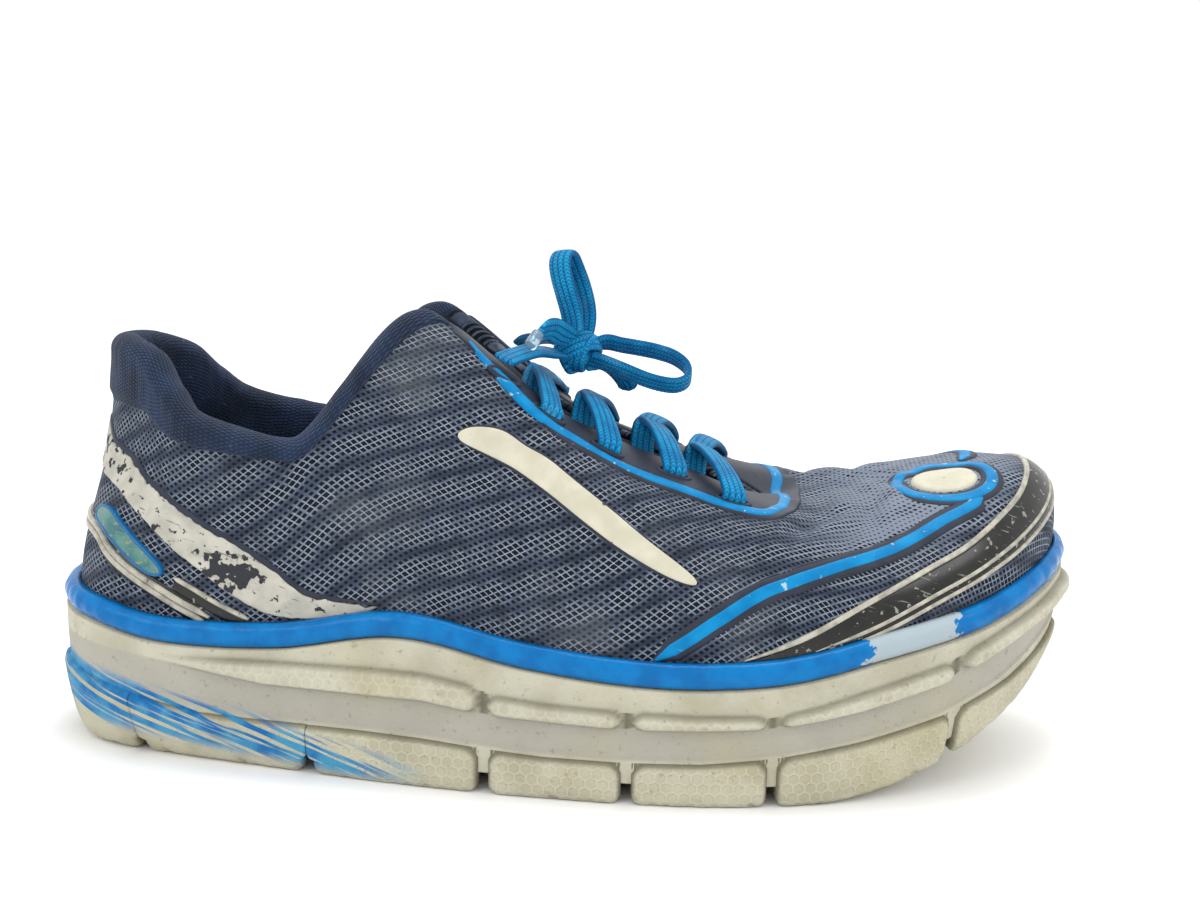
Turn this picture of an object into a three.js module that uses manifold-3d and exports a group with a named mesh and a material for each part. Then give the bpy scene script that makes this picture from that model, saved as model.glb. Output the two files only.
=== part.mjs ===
// A low running shoe for the right foot: foam midsole, outsole lugs, rand, hollow lasted upper,
// padded tongue, insole and one flat lace tied in a bow. Millimetres, +X to the toe, +Y to the
// inner side of the foot, +Z up, floor at z = 0. The sections are worked out with the back of the
// heel near x = 0, and the last lines move the whole shoe so that its origin is on the floor,
// under the middle of its box.
import * as THREE from "three";
import { ParametricGeometry } from "three/addons/geometries/ParametricGeometry.js";
import * as BufferGeometryUtils from "three/addons/utils/BufferGeometryUtils.js";
import Module from "manifold-3d";

// ---- driving dimensions ---------------------------------------------------------------------
const SHOE_LENGTH = 289; // heel to toe, over the sole
const BALL_WIDTH = 104; // over the sole, at the ball of the foot
const INSTEP_HEIGHT = 121; // top of the eyestay above the floor
const FOOTBED_HEIGHT = 23; // under the insole, the same at heel and ball
const LUG_HEIGHT = 5;
const TOE_SPRING = 29; // how far the sole's underside rises to its toe tip
const TOE_SPRING_START = 208;
const TOE_SPRING_RUN = 76;
const HEEL_BEVEL = 5; // how far the underside rises to the back of the heel
const HEEL_BEVEL_START = 14;
const RAND_OVERHANG = 3.7; // how far the sole's edge stands outside the upper
const RAND_HEIGHT = 6.6;
const MESH_WALL = 2.2; // engineered mesh and its lining
const LASTED_WALL = 3; // where the upper is turned in at its base
const COLLAR_ROLL = 3.6; // radius of the padded collar's rolled rim
const THROAT_EDGE = 1.2; // radius of the eyestay's edge
const INSOLE_THICKNESS = 4;
const TONGUE_THICKNESS = 4.5;
const LACE_WIDTH = 7;
const LACE_THICKNESS = 1.8;
const LACE_CORD = 2.4; // radius of the plain tubes that stand for the free lace
const GAP = 0.4; // left between pieces that touch

// ---- the lasting lines ----------------------------------------------------------------------
// A station is a place round the shoe: 0 at the back of the heel, along the outer side to the toe
// tip at 12.5, and back along the inner side to 25. Stations s and 25 - s face each other.
const STATIONS = 25;
const ROUND_STEPS = 96; // steps round the shoe that every nested piece shares

// Top of the sole's side wall: station, x in % of length, y in % of ball width, z in % of instep.
const SOLE_LINE = [
  [0, -1, 0, 31.8], [1, 0.5, -17.8, 31.8], [2, 4.5, -30.3, 30.6], [3, 11.8, -37, 27.7],
  [4, 22.8, -40.9, 28.1], [5, 34.6, -45.7, 32.6], [6, 46.4, -50.5, 27.7], [7, 58.1, -53.4, 25.2],
  [8, 69.2, -52.4, 26.4], [9, 78.9, -46.6, 31.4], [10, 87.9, -35.6, 36], [11, 94.5, -20.2, 41.3],
  [12, 98.6, 0, 44.6], [13, 99, 18.3, 45], [14, 95.2, 33.7, 42.1], [15, 87.2, 41.8, 36.8],
  [16, 76.8, 46.2, 31], [17, 65.7, 46.6, 26.9], [18, 54.7, 42.8, 26.4], [19, 43.6, 36.5, 30.6],
  [20, 32.5, 33.2, 33.9], [21, 21.5, 33.7, 29.8], [22, 11.1, 33.7, 28.1], [23, 3.8, 28.4, 30.6],
  [24, 0.3, 16.3, 31.8],
];

// Collar and throat line, where the upper ends: the same columns. The collar dips at the ankle,
// peaks at the top of the eyestay, and the throat runs down to its toe end at station 12.5.
const TOP_LINE = [
  [0, 3.8, 0, 90.5], [1, 5.9, -12.5, 90.1], [1.7, 9, -19.7, 87.6], [2.3, 11.1, -24, 81.4],
  [3, 13.8, -28.4, 75.6], [3.7, 18.7, -31.7, 72.3], [4.3, 22.8, -33.7, 70.5], [4.7, 25.3, -33.7, 71.9],
  [5.3, 29.1, -30.3, 83.5], [5.8, 32.5, -25, 95], [6.1, 34.9, -20.7, 100], [6.4, 37.4, -16.8, 100],
  [7, 42.9, -12, 88.8], [7.5, 47.4, -9.1, 79.8], [8, 52.6, -7.7, 73.8], [8.7, 58.8, -6.3, 67.8],
  [9.4, 63.3, -4.8, 63.2], [10.2, 65.7, -2.9, 60.5], [11.2, 67.1, -0.5, 58.8], [12.5, 67.6, 2.4, 58.3],
  [13.8, 67.1, 5.3, 59.3], [14.8, 65.7, 7.7, 61.2], [15.6, 63.3, 9.1, 63.9], [16.3, 58.8, 10.6, 68.3],
  [17, 52.6, 12, 74.4], [17.5, 47.4, 13.5, 80.2], [18, 42.9, 16.3, 89.3], [18.6, 37.4, 19.7, 100],
  [18.9, 34.9, 22.1, 100], [19.2, 32.5, 25, 95], [19.7, 29.1, 28.8, 83.5], [20.3, 25.3, 32.7, 72.3],
  [20.7, 22.8, 33.2, 70.7], [21.3, 18.7, 31.7, 72.3], [22, 13.8, 28.8, 76], [22.7, 11.1, 25, 81],
  [23.3, 8.7, 20.2, 86.8], [24, 5.5, 11.5, 90.1],
];

// How the last swells between those two lines: station, rise of the side wall and its outward
// lean, then reach and drop of the arc that comes into the top line (all but the lean in mm).
const LAST_SHAPE = [
  [0, 26, -0.05, 0, 30], [2, 26, 0.02, 0, 30], [3, 26, 0, 2, 26], [4.3, 24, 0.02, 4, 20],
  [5.3, 28, 0.02, 10, 22], [6.2, 34, 0.06, 19, 18], [7, 30, 0.08, 26, 11], [8, 28, 0.1, 30, 10],
  [9.4, 28, 0.12, 36, 8], [10.5, 36, 0.12, 45, 2], [12, 47, 0.15, 54, -4],
  [13.2, 49, 0.15, 52, -5], [14.5, 40, 0.12, 40, -3], [16, 30, 0.1, 34, 3], [17.5, 29, 0.06, 27, 10],
  [18.7, 34, 0.02, 20, 17], [19.6, 28, 0, 10, 22], [20.7, 24, 0, 4, 20], [22, 26, 0, 2, 26],
  [23, 26, 0.02, 0, 30],
];

// How far the sole's side wall comes in between its top line and the floor: station, mm.
const WALL_INSET = [
  [0, 3], [1, 5], [2, 8], [3, 8], [4, 4], [5, 0.8], [6.5, 0.3], [7.5, 0.5], [8.5, 2], [9.5, 3],
  [10.5, 5], [12, 7], [13, 7], [14.5, 5], [16, 2], [17, 1], [19, 3], [21, 5], [23, 7], [24, 4],
];

// Stations of the cross grooves between the lugs.
const GROOVES = [0.3, 2.6, 4.27, 5.68, 6.78, 7.94, 9.72, 12.2];

// The five lace slots of the outer eyestay from toe to ankle: the station where the throat's edge
// passes beside the slot, then the slot's own station and share. The inner side has the same.
const LACE_SLOTS = [
  [9.8, 8.53, 0.7], [8.83, 8.17, 0.79], [8.15, 7.55, 0.78], [7.55, 6.95, 0.76], [7.05, 6.65, 0.82],
];

// A closed curve through rows [station, ...values]: cubic pieces whose slope at each row is that
// of the line between its two neighbours.
function closedCurve(rows) {
  const count = rows.length;
  const row = (index) => {
    const turns = Math.floor(index / count);
    const [station, ...values] = rows[index - turns * count];
    return { station: station + turns * STATIONS, values };
  };
  return (station) => {
    const wrapped = ((station % STATIONS) + STATIONS) % STATIONS;
    let i = rows.findIndex(([start]) => start > wrapped + 1e-9) - 1;
    if (i < 0) i = count - 1;
    const [before, here, next, after] = [row(i - 1), row(i), row(i + 1), row(i + 2)];
    const span = next.station - here.station;
    const t = (wrapped - here.station) / span;
    const weights = [
      2 * t ** 3 - 3 * t ** 2 + 1, t ** 3 - 2 * t ** 2 + t, 3 * t ** 2 - 2 * t ** 3, t ** 3 - t ** 2,
    ];
    return here.values.map((value, k) => {
      const slopeHere = (next.values[k] - before.values[k]) / (next.station - before.station);
      const slopeNext = (after.values[k] - value) / (after.station - here.station);
      return weights[0] * value + weights[1] * span * slopeHere
        + weights[2] * next.values[k] + weights[3] * span * slopeNext;
    });
  };
}

const inMillimetres = ([station, x, y, z]) => [
  station, (x * SHOE_LENGTH) / 100, (y * BALL_WIDTH) / 100, (z * INSTEP_HEIGHT) / 100,
];
const soleLine = closedCurve(SOLE_LINE.map(inMillimetres));
const topLine = closedCurve(TOP_LINE.map(inMillimetres));
const lastShape = closedCurve(LAST_SHAPE);
const wallInset = closedCurve(WALL_INSET);

const UP = new THREE.Vector3(0, 0, 1);
const SMALL_STEP = 1e-3;
const { clamp, smoothstep, lerp } = THREE.MathUtils;

// Unit vector in plan, out of the sole, square to its outline.
function outward(station) {
  const [x0, y0] = soleLine(station - SMALL_STEP);
  const [x1, y1] = soleLine(station + SMALL_STEP);
  return new THREE.Vector3(y1 - y0, x0 - x1, 0).normalize();
}

// A point inside the sole's outline by inset, at the height of the wall's top plus lift.
function fromEdge(station, inset, lift) {
  const point = new THREE.Vector3(...soleLine(station));
  return point.addScaledVector(outward(station), -inset).addScaledVector(UP, lift);
}

// Height of the underside: flat from heel to ball, then curving up to the toe.
function underside(x) {
  const toe = TOE_SPRING * Math.max(0, (x - TOE_SPRING_START) / TOE_SPRING_RUN) ** 1.7;
  const heel = HEEL_BEVEL * Math.max(0, (HEEL_BEVEL_START - x) / HEEL_BEVEL_START) ** 2;
  return toe + heel;
}

// Height of the foam under the insole: it follows most of the toe spring.
function footbed(x) {
  return FOOTBED_HEIGHT + 0.85 * underside(x);
}

// A point on the sole's side wall: height 0 on the floor line, 1 at the top line.
function soleWall(station, height) {
  const [inset] = wallInset(station);
  const point = fromEdge(station, inset * (1 - height) ** 2.5, 0);
  const floor = underside(fromEdge(station, inset, 0).x);
  point.z = lerp(floor, point.z, height);
  return point;
}

// The share of the side wall's height that is lift mm above the floor line.
function wallShare(station, lift) {
  const floor = soleWall(station, 0).z;
  return lift / (soleLine(station)[2] - floor);
}

// ---- the upper's own surface ----------------------------------------------------------------
// Outer face of the upper: one cubic arc at each station, from the lasted base (share 0) up the
// side wall and over to the top line (share 1).
function upperFace(station, share) {
  const [rise, lean, reach, drop] = lastShape(station);
  const base = fromEdge(station, RAND_OVERHANG, GAP);
  const top = new THREE.Vector3(...topLine(station));
  const wall = base.clone().addScaledVector(UP, rise).addScaledVector(outward(station), rise * lean);
  const away = new THREE.Vector3(base.x - top.x, base.y - top.y, 0).normalize();
  const shoulder = top.clone().addScaledVector(away, reach).addScaledVector(UP, -drop);
  return new THREE.CubicBezierCurve3(base, wall, shoulder, top).getPoint(share);
}

// Unit tangent up the arc, and unit normal into the shoe.
function upperTangent(station, share) {
  const upper = clamp(share + SMALL_STEP, 0, 1);
  return upperFace(station, upper).sub(upperFace(station, upper - 2 * SMALL_STEP)).normalize();
}

function upperInward(station, share) {
  const along = upperFace(station + SMALL_STEP, share).sub(upperFace(station - SMALL_STEP, share));
  return along.cross(upperTangent(station, share)).normalize().negate();
}

// A point that lies depth under the upper's outer face; a negative depth stands off it.
function underUpper(station, share, depth) {
  return upperFace(station, share).addScaledVector(upperInward(station, share), depth);
}

// Radius of the upper's rim: a padded roll round the collar, a thin edge down the throat.
function rimRadius(station) {
  const side = Math.min(station, STATIONS - station);
  return lerp(COLLAR_ROLL, THROAT_EDGE, smoothstep(side, 6.6, 7.15));
}

// Wall thickness: lasted base, mesh side, and padding that grows to twice the rim's radius.
function wallThickness(station, share) {
  const side = lerp(LASTED_WALL, MESH_WALL, smoothstep(share, 0, 0.2));
  return lerp(side, 2 * rimRadius(station), smoothstep(share, 0.45, 1));
}

// A point on the rim, at an angle from the outer face (0) over the top to the lining (PI).
function upperRim(station, angle) {
  const radius = rimRadius(station);
  return underUpper(station, 1, radius * (1 - Math.cos(angle)))
    .addScaledVector(upperTangent(station, 1), radius * Math.sin(angle));
}

// ---- turning surfaces into closed solids ----------------------------------------------------
// A grid of faces through pointAt(row, column), with whole numbers for both. It faces the way of
// the row direction crossed with the column direction.
function patch(pointAt, rows, columns) {
  const surface = (u, v, target) => target.copy(pointAt(Math.round(u * rows), Math.round(v * columns)));
  return new ParametricGeometry(surface, rows, columns);
}

// Joins patches along the points that they share, and drops the faces that have closed up.
function closedSolid(patches) {
  const plain = patches.map((geometry) => geometry.deleteAttribute("normal").deleteAttribute("uv"));
  const joined = BufferGeometryUtils.mergeVertices(BufferGeometryUtils.mergeGeometries(plain), 1e-4);
  const index = joined.getIndex().array;
  const kept = [];
  for (let i = 0; i < index.length; i += 3) {
    const [a, b, c] = index.slice(i, i + 3);
    if (a !== b && b !== c && c !== a) kept.push(a, b, c);
  }
  joined.setIndex(kept);
  return joined;
}

// A ring: loopAt(station) gives a closed loop of points, carried all the way round the shoe.
function ringSolid(loopAt) {
  const loops = Array.from({ length: ROUND_STEPS }, (_, i) => loopAt((i * STATIONS) / ROUND_STEPS));
  const corners = loops[0].length;
  return closedSolid([patch((i, j) => loops[i % ROUND_STEPS][j % corners], ROUND_STEPS, corners)]);
}

// Rungs straight across the shoe between facing stations of an outline. lift(point, share, rung)
// may move each point, where share is 0 on the outer side and 1 on the inner side.
function rungs(outline, columns, lift, flip) {
  const rows = ROUND_STEPS / 2;
  return patch((i, j) => {
    const column = flip ? columns - j : j;
    const station = (i * STATIONS) / ROUND_STEPS;
    const facing = ((ROUND_STEPS - i) % ROUND_STEPS) * (STATIONS / ROUND_STEPS);
    const from = outline(station);
    const to = outline(facing);
    const rung = from.distanceTo(to);
    return lift(from.lerp(to, column / columns), column / columns, rung);
  }, rows, columns);
}

// A wall round the shoe through outlines that lie one above or inside the other.
function ringWall(outlines) {
  const stationAt = (i) => ((i % ROUND_STEPS) * STATIONS) / ROUND_STEPS;
  return patch((i, j) => outlines[j](stationAt(i)), ROUND_STEPS, outlines.length - 1);
}

// A bar: loops of the same number of points, one after the other, closed at both ends.
function barSolid(loops) {
  const corners = loops[0].length;
  const last = loops.length - 1;
  const side = patch((i, j) => loops[i][j % corners], last, corners);
  const cap = (loop, flip) => patch((i, j) => {
    const corner = flip ? corners - 1 - j : j;
    return i === 0 ? loop[corner] : loop[0];
  }, 1, corners - 1);
  return closedSolid([side, cap(loops[0], true), cap(loops[last], false)]);
}

// ---- sole -----------------------------------------------------------------------------------
const DISH_LIP = 7.6; // width of the ledge that carries the upper and the rand
const DISH_FLOOR = 11.5; // inset of the dish's flat floor
const asIs = (point) => point;

function midsoleGeometry() {
  const bottom = (station) => soleWall(station, wallShare(station, LUG_HEIGHT + GAP));
  const floor = (station) => {
    const point = fromEdge(station, DISH_FLOOR, 0);
    point.z = footbed(point.x);
    return point;
  };
  const outlines = [
    bottom,
    (station) => soleWall(station, lerp(wallShare(station, LUG_HEIGHT), 1, 0.3)),
    (station) => soleWall(station, lerp(wallShare(station, LUG_HEIGHT), 1, 0.65)),
    (station) => fromEdge(station, 0, 0),
    (station) => fromEdge(station, DISH_LIP, 0),
    floor,
  ];
  return closedSolid([ringWall(outlines), rungs(bottom, 2, asIs, true), rungs(floor, 2, asIs, false)]);
}

// One lug between two grooves, from the side wall in to the groove along the middle.
const GROOVE_HALF = 0.07; // half a cross groove, in stations
const CENTRE_GROOVE = 6;

function lugGeometry(from, to, medial) {
  const loops = [];
  const steps = Math.round(((to - from) * ROUND_STEPS) / STATIONS);
  for (let step = 0; step <= steps; step += 1) {
    const outer = lerp(from + GROOVE_HALF, to - GROOVE_HALF, step / steps);
    const station = medial ? STATIONS - outer : outer;
    const rungAt = (height) => {
      const edge = soleWall(station, wallShare(station, height));
      const facing = soleWall(STATIONS - station, wallShare(STATIONS - station, height));
      const inner = 0.5 - CENTRE_GROOVE / 2 / edge.distanceTo(facing);
      return [edge, edge.clone().lerp(facing, inner)];
    };
    const [floorEdge, floorMiddle] = rungAt(0);
    const [topEdge, topMiddle] = rungAt(LUG_HEIGHT);
    const loop = [floorEdge, topEdge, topMiddle, floorMiddle];
    loops.push(medial ? loop.reverse() : loop);
  }
  return barSolid(loops);
}

// The rand's section: a rounded bead on the ledge, its inner face cut to the upper.
function randLoop(station) {
  const top = soleLine(station)[2] + RAND_HEIGHT + GAP;
  let share = 0;
  while (upperFace(station, share).z < top) share += 0.002;
  const innerTop = underUpper(station, share, -GAP);
  innerTop.z = top;
  const innerBottom = underUpper(station, 0, -GAP);
  innerBottom.z = soleLine(station)[2] + GAP;
  return [
    fromEdge(station, 0.2, GAP),
    fromEdge(station, -0.3, GAP + RAND_HEIGHT * 0.45),
    fromEdge(station, 0.5, GAP + RAND_HEIGHT * 0.85),
    innerTop,
    innerBottom,
  ];
}

// ---- upper, insole, tongue ------------------------------------------------------------------
const FACE_STEPS = 8;
const RIM_STEPS = 4;

function upperLoop(station) {
  const loop = [];
  for (let i = 0; i < FACE_STEPS; i += 1) loop.push(upperFace(station, i / FACE_STEPS));
  for (let i = 0; i < RIM_STEPS; i += 1) loop.push(upperRim(station, (Math.PI * i) / RIM_STEPS));
  for (let i = FACE_STEPS; i >= 0; i -= 1) {
    const share = i / FACE_STEPS;
    loop.push(underUpper(station, share, wallThickness(station, share)));
  }
  return loop;
}

const INSOLE_RIM = 1.2; // how far the insole's edge turns up

function insoleGeometry() {
  const outline = (inset, lift) => (station) => {
    const point = fromEdge(station, inset, 0);
    point.z = footbed(point.x) + GAP + lift;
    return point;
  };
  const bottom = outline(DISH_FLOOR + 0.8, 0);
  const top = outline(DISH_FLOOR, INSOLE_THICKNESS + INSOLE_RIM);
  const hollow = (point, share, rung) => {
    point.z = footbed(point.x) + GAP + INSOLE_THICKNESS
      + INSOLE_RIM * (1 - 4 * share * (1 - share) * Math.min(1, rung / 40));
    return point;
  };
  return closedSolid([ringWall([bottom, top]), rungs(bottom, 2, asIs, true), rungs(top, 4, hollow, false)]);
}

// The tongue lies under the eyestay: two wings against the lining and a low arch across the
// throat. Its toe end folds round the end of the throat.
const TONGUE_TOP_STEP = 25; // the step round the shoe of its ankle end
const TONGUE_ROWS = ROUND_STEPS / 2 - TONGUE_TOP_STEP;
const TONGUE_WING = 14; // how far a wing reaches under the eyestay
const TONGUE_COLUMNS = 12;
const WING_COLUMNS = 3;
const TONGUE_ARCH = 0.13; // rise of the arch over its width
const TONGUE_GAP = 1; // under the lining
const TONGUE_TOE_GAP = 2.4; // it lies lower where it passes under the end of the throat
const TONGUE_TOE_ROWS = 9; // over how many rows it comes down

function tongueFace(row, column, depth) {
  const outer = ((TONGUE_TOP_STEP + row) * STATIONS) / ROUND_STEPS;
  const side = Math.min(column, TONGUE_COLUMNS - column);
  const toe = smoothstep(row, TONGUE_ROWS - TONGUE_TOE_ROWS, TONGUE_ROWS);
  const gap = lerp(TONGUE_GAP, TONGUE_TOE_GAP, toe);
  const wing = (station, share) => {
    return underUpper(station, share, wallThickness(station, share) + gap + depth);
  };
  if (side <= WING_COLUMNS) {
    const station = column < TONGUE_COLUMNS / 2 ? outer : STATIONS - outer;
    const [, , reach, drop] = lastShape(station);
    const wingShare = TONGUE_WING / (3 * Math.hypot(reach, drop));
    return wing(station, 1 - wingShare * (1 - side / WING_COLUMNS));
  }
  const across = (column - WING_COLUMNS) / (TONGUE_COLUMNS - 2 * WING_COLUMNS);
  const from = wing(outer, 1);
  const to = wing(STATIONS - outer, 1);
  const rise = TONGUE_ARCH * (1 - toe) * from.distanceTo(to) * 4 * across * (1 - across);
  return from.lerp(to, across).addScaledVector(UP, rise);
}

function tongueGeometry() {
  const face = (depth, flip) => patch((i, j) => {
    return tongueFace(i, flip ? TONGUE_COLUMNS - j : j, depth);
  }, TONGUE_ROWS, TONGUE_COLUMNS);
  const edge = (pointAt, steps) => patch((i, j) => pointAt(i, j * TONGUE_THICKNESS), steps, 1);
  return closedSolid([
    face(0, false),
    face(TONGUE_THICKNESS, true),
    edge((i, depth) => tongueFace(i, TONGUE_COLUMNS, depth), TONGUE_ROWS),
    edge((i, depth) => tongueFace(TONGUE_ROWS - i, 0, depth), TONGUE_ROWS),
    edge((i, depth) => tongueFace(0, i, depth), TONGUE_COLUMNS),
  ]);
}

// ---- lace -----------------------------------------------------------------------------------
// Each crossing is two flat bars joined where they cross. A bar comes out of the throat beside one
// eyestay, arches over the tongue, and comes down on the lace slot in the facing eyestay.
const BAR_STEPS = 12;
const ARCH_HEIGHTS = [10, 12, 12, 6]; // of the crossings, from toe to ankle
const EMERGE_STATION = 0.2; // how far past its own slot a bar comes out

function crossingBar(crossing, medialStart) {
  const near = (station) => (medialStart ? STATIONS - station : station);
  const far = (station) => STATIONS - near(station);
  const [besideStart] = LACE_SLOTS[crossing + 1];
  const [besideEnd, slotStation, slotShare] = LACE_SLOTS[crossing];
  const startEdge = new THREE.Vector3(...topLine(near(besideStart + EMERGE_STATION)));
  const end = underUpper(far(slotStation), slotShare, -(GAP + LACE_THICKNESS));
  const across = end.clone().sub(startEdge).setZ(0).normalize();
  const start = startEdge.addScaledVector(across, 4.5).addScaledVector(UP, 1.2);
  const arch = ARCH_HEIGHTS[crossing];
  const path = new THREE.CubicBezierCurve3(
    start,
    start.clone().addScaledVector(across, 2).addScaledVector(UP, arch),
    end.clone().addScaledVector(across, -6).addScaledVector(UP, arch),
    end,
  );
  const along = new THREE.Vector3(...topLine(besideEnd))
    .sub(new THREE.Vector3(...topLine(besideStart))).normalize();
  const loops = [];
  for (let i = 0; i <= BAR_STEPS; i += 1) {
    const tangent = path.getTangent(i / BAR_STEPS);
    const width = along.clone().addScaledVector(tangent, -along.dot(tangent)).normalize();
    const face = tangent.clone().cross(width);
    const corner = (a, b) => path.getPoint(i / BAR_STEPS)
      .addScaledVector(width, (a * LACE_WIDTH) / 2).addScaledVector(face, (b * LACE_THICKNESS) / 2);
    loops.push([corner(-1, -1), corner(-1, 1), corner(1, 1), corner(1, -1)]);
  }
  return barSolid(loops);
}

const wasm = await Module();
wasm.setup();

function toManifold(geometry) {
  const vertProperties = new Float32Array(geometry.getAttribute("position").array);
  const triVerts = new Uint32Array(geometry.getIndex().array);
  return new wasm.Manifold(new wasm.Mesh({ numProp: 3, vertProperties, triVerts }));
}

function fromManifold(solid) {
  const { vertProperties, triVerts } = solid.getMesh();
  const geometry = new THREE.BufferGeometry();
  geometry.setAttribute("position", new THREE.BufferAttribute(vertProperties, 3));
  geometry.setIndex(new THREE.BufferAttribute(triVerts, 1));
  return geometry;
}

function crossingGeometry(crossing) {
  const bars = [false, true].map((medialStart) => toManifold(crossingBar(crossing, medialStart)));
  return fromManifold(bars[0].add(bars[1]));
}

// The free lace as plain round tubes, each along points chosen by hand: the leads from the top
// slots to the knot, the standing loop, the forward loop and the two short ends.
const LACE_ROUTES = {
  lace_lead_lateral: [[124, -22.8, 110.8], [127, -17.6, 111.8], [131.4, -10.5, 112.6], [136, -4, 111.6]],
  lace_lead_medial: [[125.4, 25.5, 110.6], [128.6, 20, 113], [133.4, 13, 114], [138.5, 7.5, 113]],
  lace_loop_up: [
    [147.6, 4.6, 119.2], [148.3, 5.6, 124], [147.2, 6.4, 129.5], [144.6, 6, 135], [141.3, 4, 138.8],
    [138.4, 0.6, 139.6], [136.3, -2.6, 137], [136.4, -3.6, 132.8], [138, -3.4, 128], [140.4, -2.4, 123.4],
    [142.2, -1.6, 119.4],
  ],
  lace_loop_front: [
    [151.3, 4.4, 114.6], [156, 4.2, 112.6], [161, 3.4, 111], [166, 3, 110.2], [171.5, 2.6, 109.6],
    [175.6, 0.8, 107.8], [176.2, -1.8, 104.6], [172.8, -3.4, 102.2], [168, -3.8, 102.3],
    [163, -3.8, 104.2], [157.5, -3.4, 106.8], [152, -1.6, 109],
  ],
  lace_end_lateral: [[139.6, -4.8, 117], [136.8, -8.6, 118.8], [134, -13.2, 118.4]],
  lace_end_medial: [[150, 6.4, 107.8], [153.8, 8.6, 106], [157, 10.4, 102.6], [158.6, 11.6, 99]],
};
const CORD_SIDES = 8;
const CORD_STEP = 5;

function cordGeometry(points) {
  const path = new THREE.CatmullRomCurve3(points.map((point) => new THREE.Vector3(...point)));
  const corners = Array.from({ length: CORD_SIDES }, (_, i) => {
    const angle = (2 * Math.PI * i) / CORD_SIDES;
    return new THREE.Vector2(LACE_CORD * Math.cos(angle), LACE_CORD * Math.sin(angle));
  });
  const steps = Math.max(2, Math.round(path.getLength() / CORD_STEP));
  const options = { steps, extrudePath: path, bevelEnabled: false };
  return new THREE.ExtrudeGeometry(new THREE.Shape(corners), options);
}

// The knot is one rounded lump where the lace is wound round itself.
const KNOT_CENTRE = [144, 2, 111.4];
const KNOT_RADII = [6.4, 5.4, 5.6];

function knotGeometry() {
  return new THREE.SphereGeometry(1, 12, 8).scale(...KNOT_RADII).translate(...KNOT_CENTRE);
}

// The clear plastic tip on the lateral end, lying in line with it.
const AGLET_RADIUS = 1.8;
const AGLET_FROM = new THREE.Vector3(133.2, -14.6, 117.8);
const AGLET_TO = new THREE.Vector3(131.2, -18.6, 114.4);

function agletGeometry() {
  const axis = AGLET_TO.clone().sub(AGLET_FROM);
  const standing = new THREE.Vector3(0, 1, 0);
  const turn = new THREE.Quaternion().setFromUnitVectors(standing, axis.clone().normalize());
  const middle = AGLET_FROM.clone().addScaledVector(axis, 0.5);
  return new THREE.CylinderGeometry(AGLET_RADIUS, AGLET_RADIUS, axis.length(), 10)
    .applyQuaternion(turn).translate(middle.x, middle.y, middle.z);
}

// ---- assembly -------------------------------------------------------------------------------
const FINISHES = {
  foam: { color: 0xd6d0bf, roughness: 0.85, metalness: 0 },
  rubber: { color: 0xbfb8a4, roughness: 0.9, metalness: 0 },
  rand: { color: 0x2e8fd6, roughness: 0.35, metalness: 0 },
  mesh: { color: 0x565b66, roughness: 0.9, metalness: 0 },
  lining: { color: 0x2f3542, roughness: 0.95, metalness: 0 },
  sockliner: { color: 0x3c4048, roughness: 0.95, metalness: 0 },
  lace: { color: 0x1d8fd8, roughness: 0.8, metalness: 0 },
  clear: { color: 0xcfdfe6, roughness: 0.2, metalness: 0 },
};

const shoe = new THREE.Group();

function add(name, finish, geometry) {
  const mesh = new THREE.Mesh(geometry, new THREE.MeshStandardMaterial(FINISHES[finish]));
  mesh.name = name;
  shoe.add(mesh);
  return mesh;
}

add("midsole", "foam", midsoleGeometry());
for (let i = 1; i < GROOVES.length; i += 1) {
  add(`lateral_lug_${i}`, "rubber", lugGeometry(GROOVES[i - 1], GROOVES[i], false));
  add(`medial_lug_${i}`, "rubber", lugGeometry(GROOVES[i - 1], GROOVES[i], true));
}
add("rand", "rand", ringSolid(randLoop));
add("upper", "mesh", ringSolid(upperLoop));
add("tongue", "lining", tongueGeometry());
add("insole", "sockliner", insoleGeometry());

for (let i = 0; i < ARCH_HEIGHTS.length; i += 1) {
  add(`lace_crossing_${i + 1}`, "lace", crossingGeometry(i));
}
const middle = new THREE.Box3().setFromObject(shoe).getCenter(new THREE.Vector3());
add("lace_knot", "lace", knotGeometry());
for (const [name, points] of Object.entries(LACE_ROUTES)) add(name, "lace", cordGeometry(points));
add("aglet", "clear", agletGeometry());

shoe.position.set(-middle.x, -middle.y, 0);
export default shoe;
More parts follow.
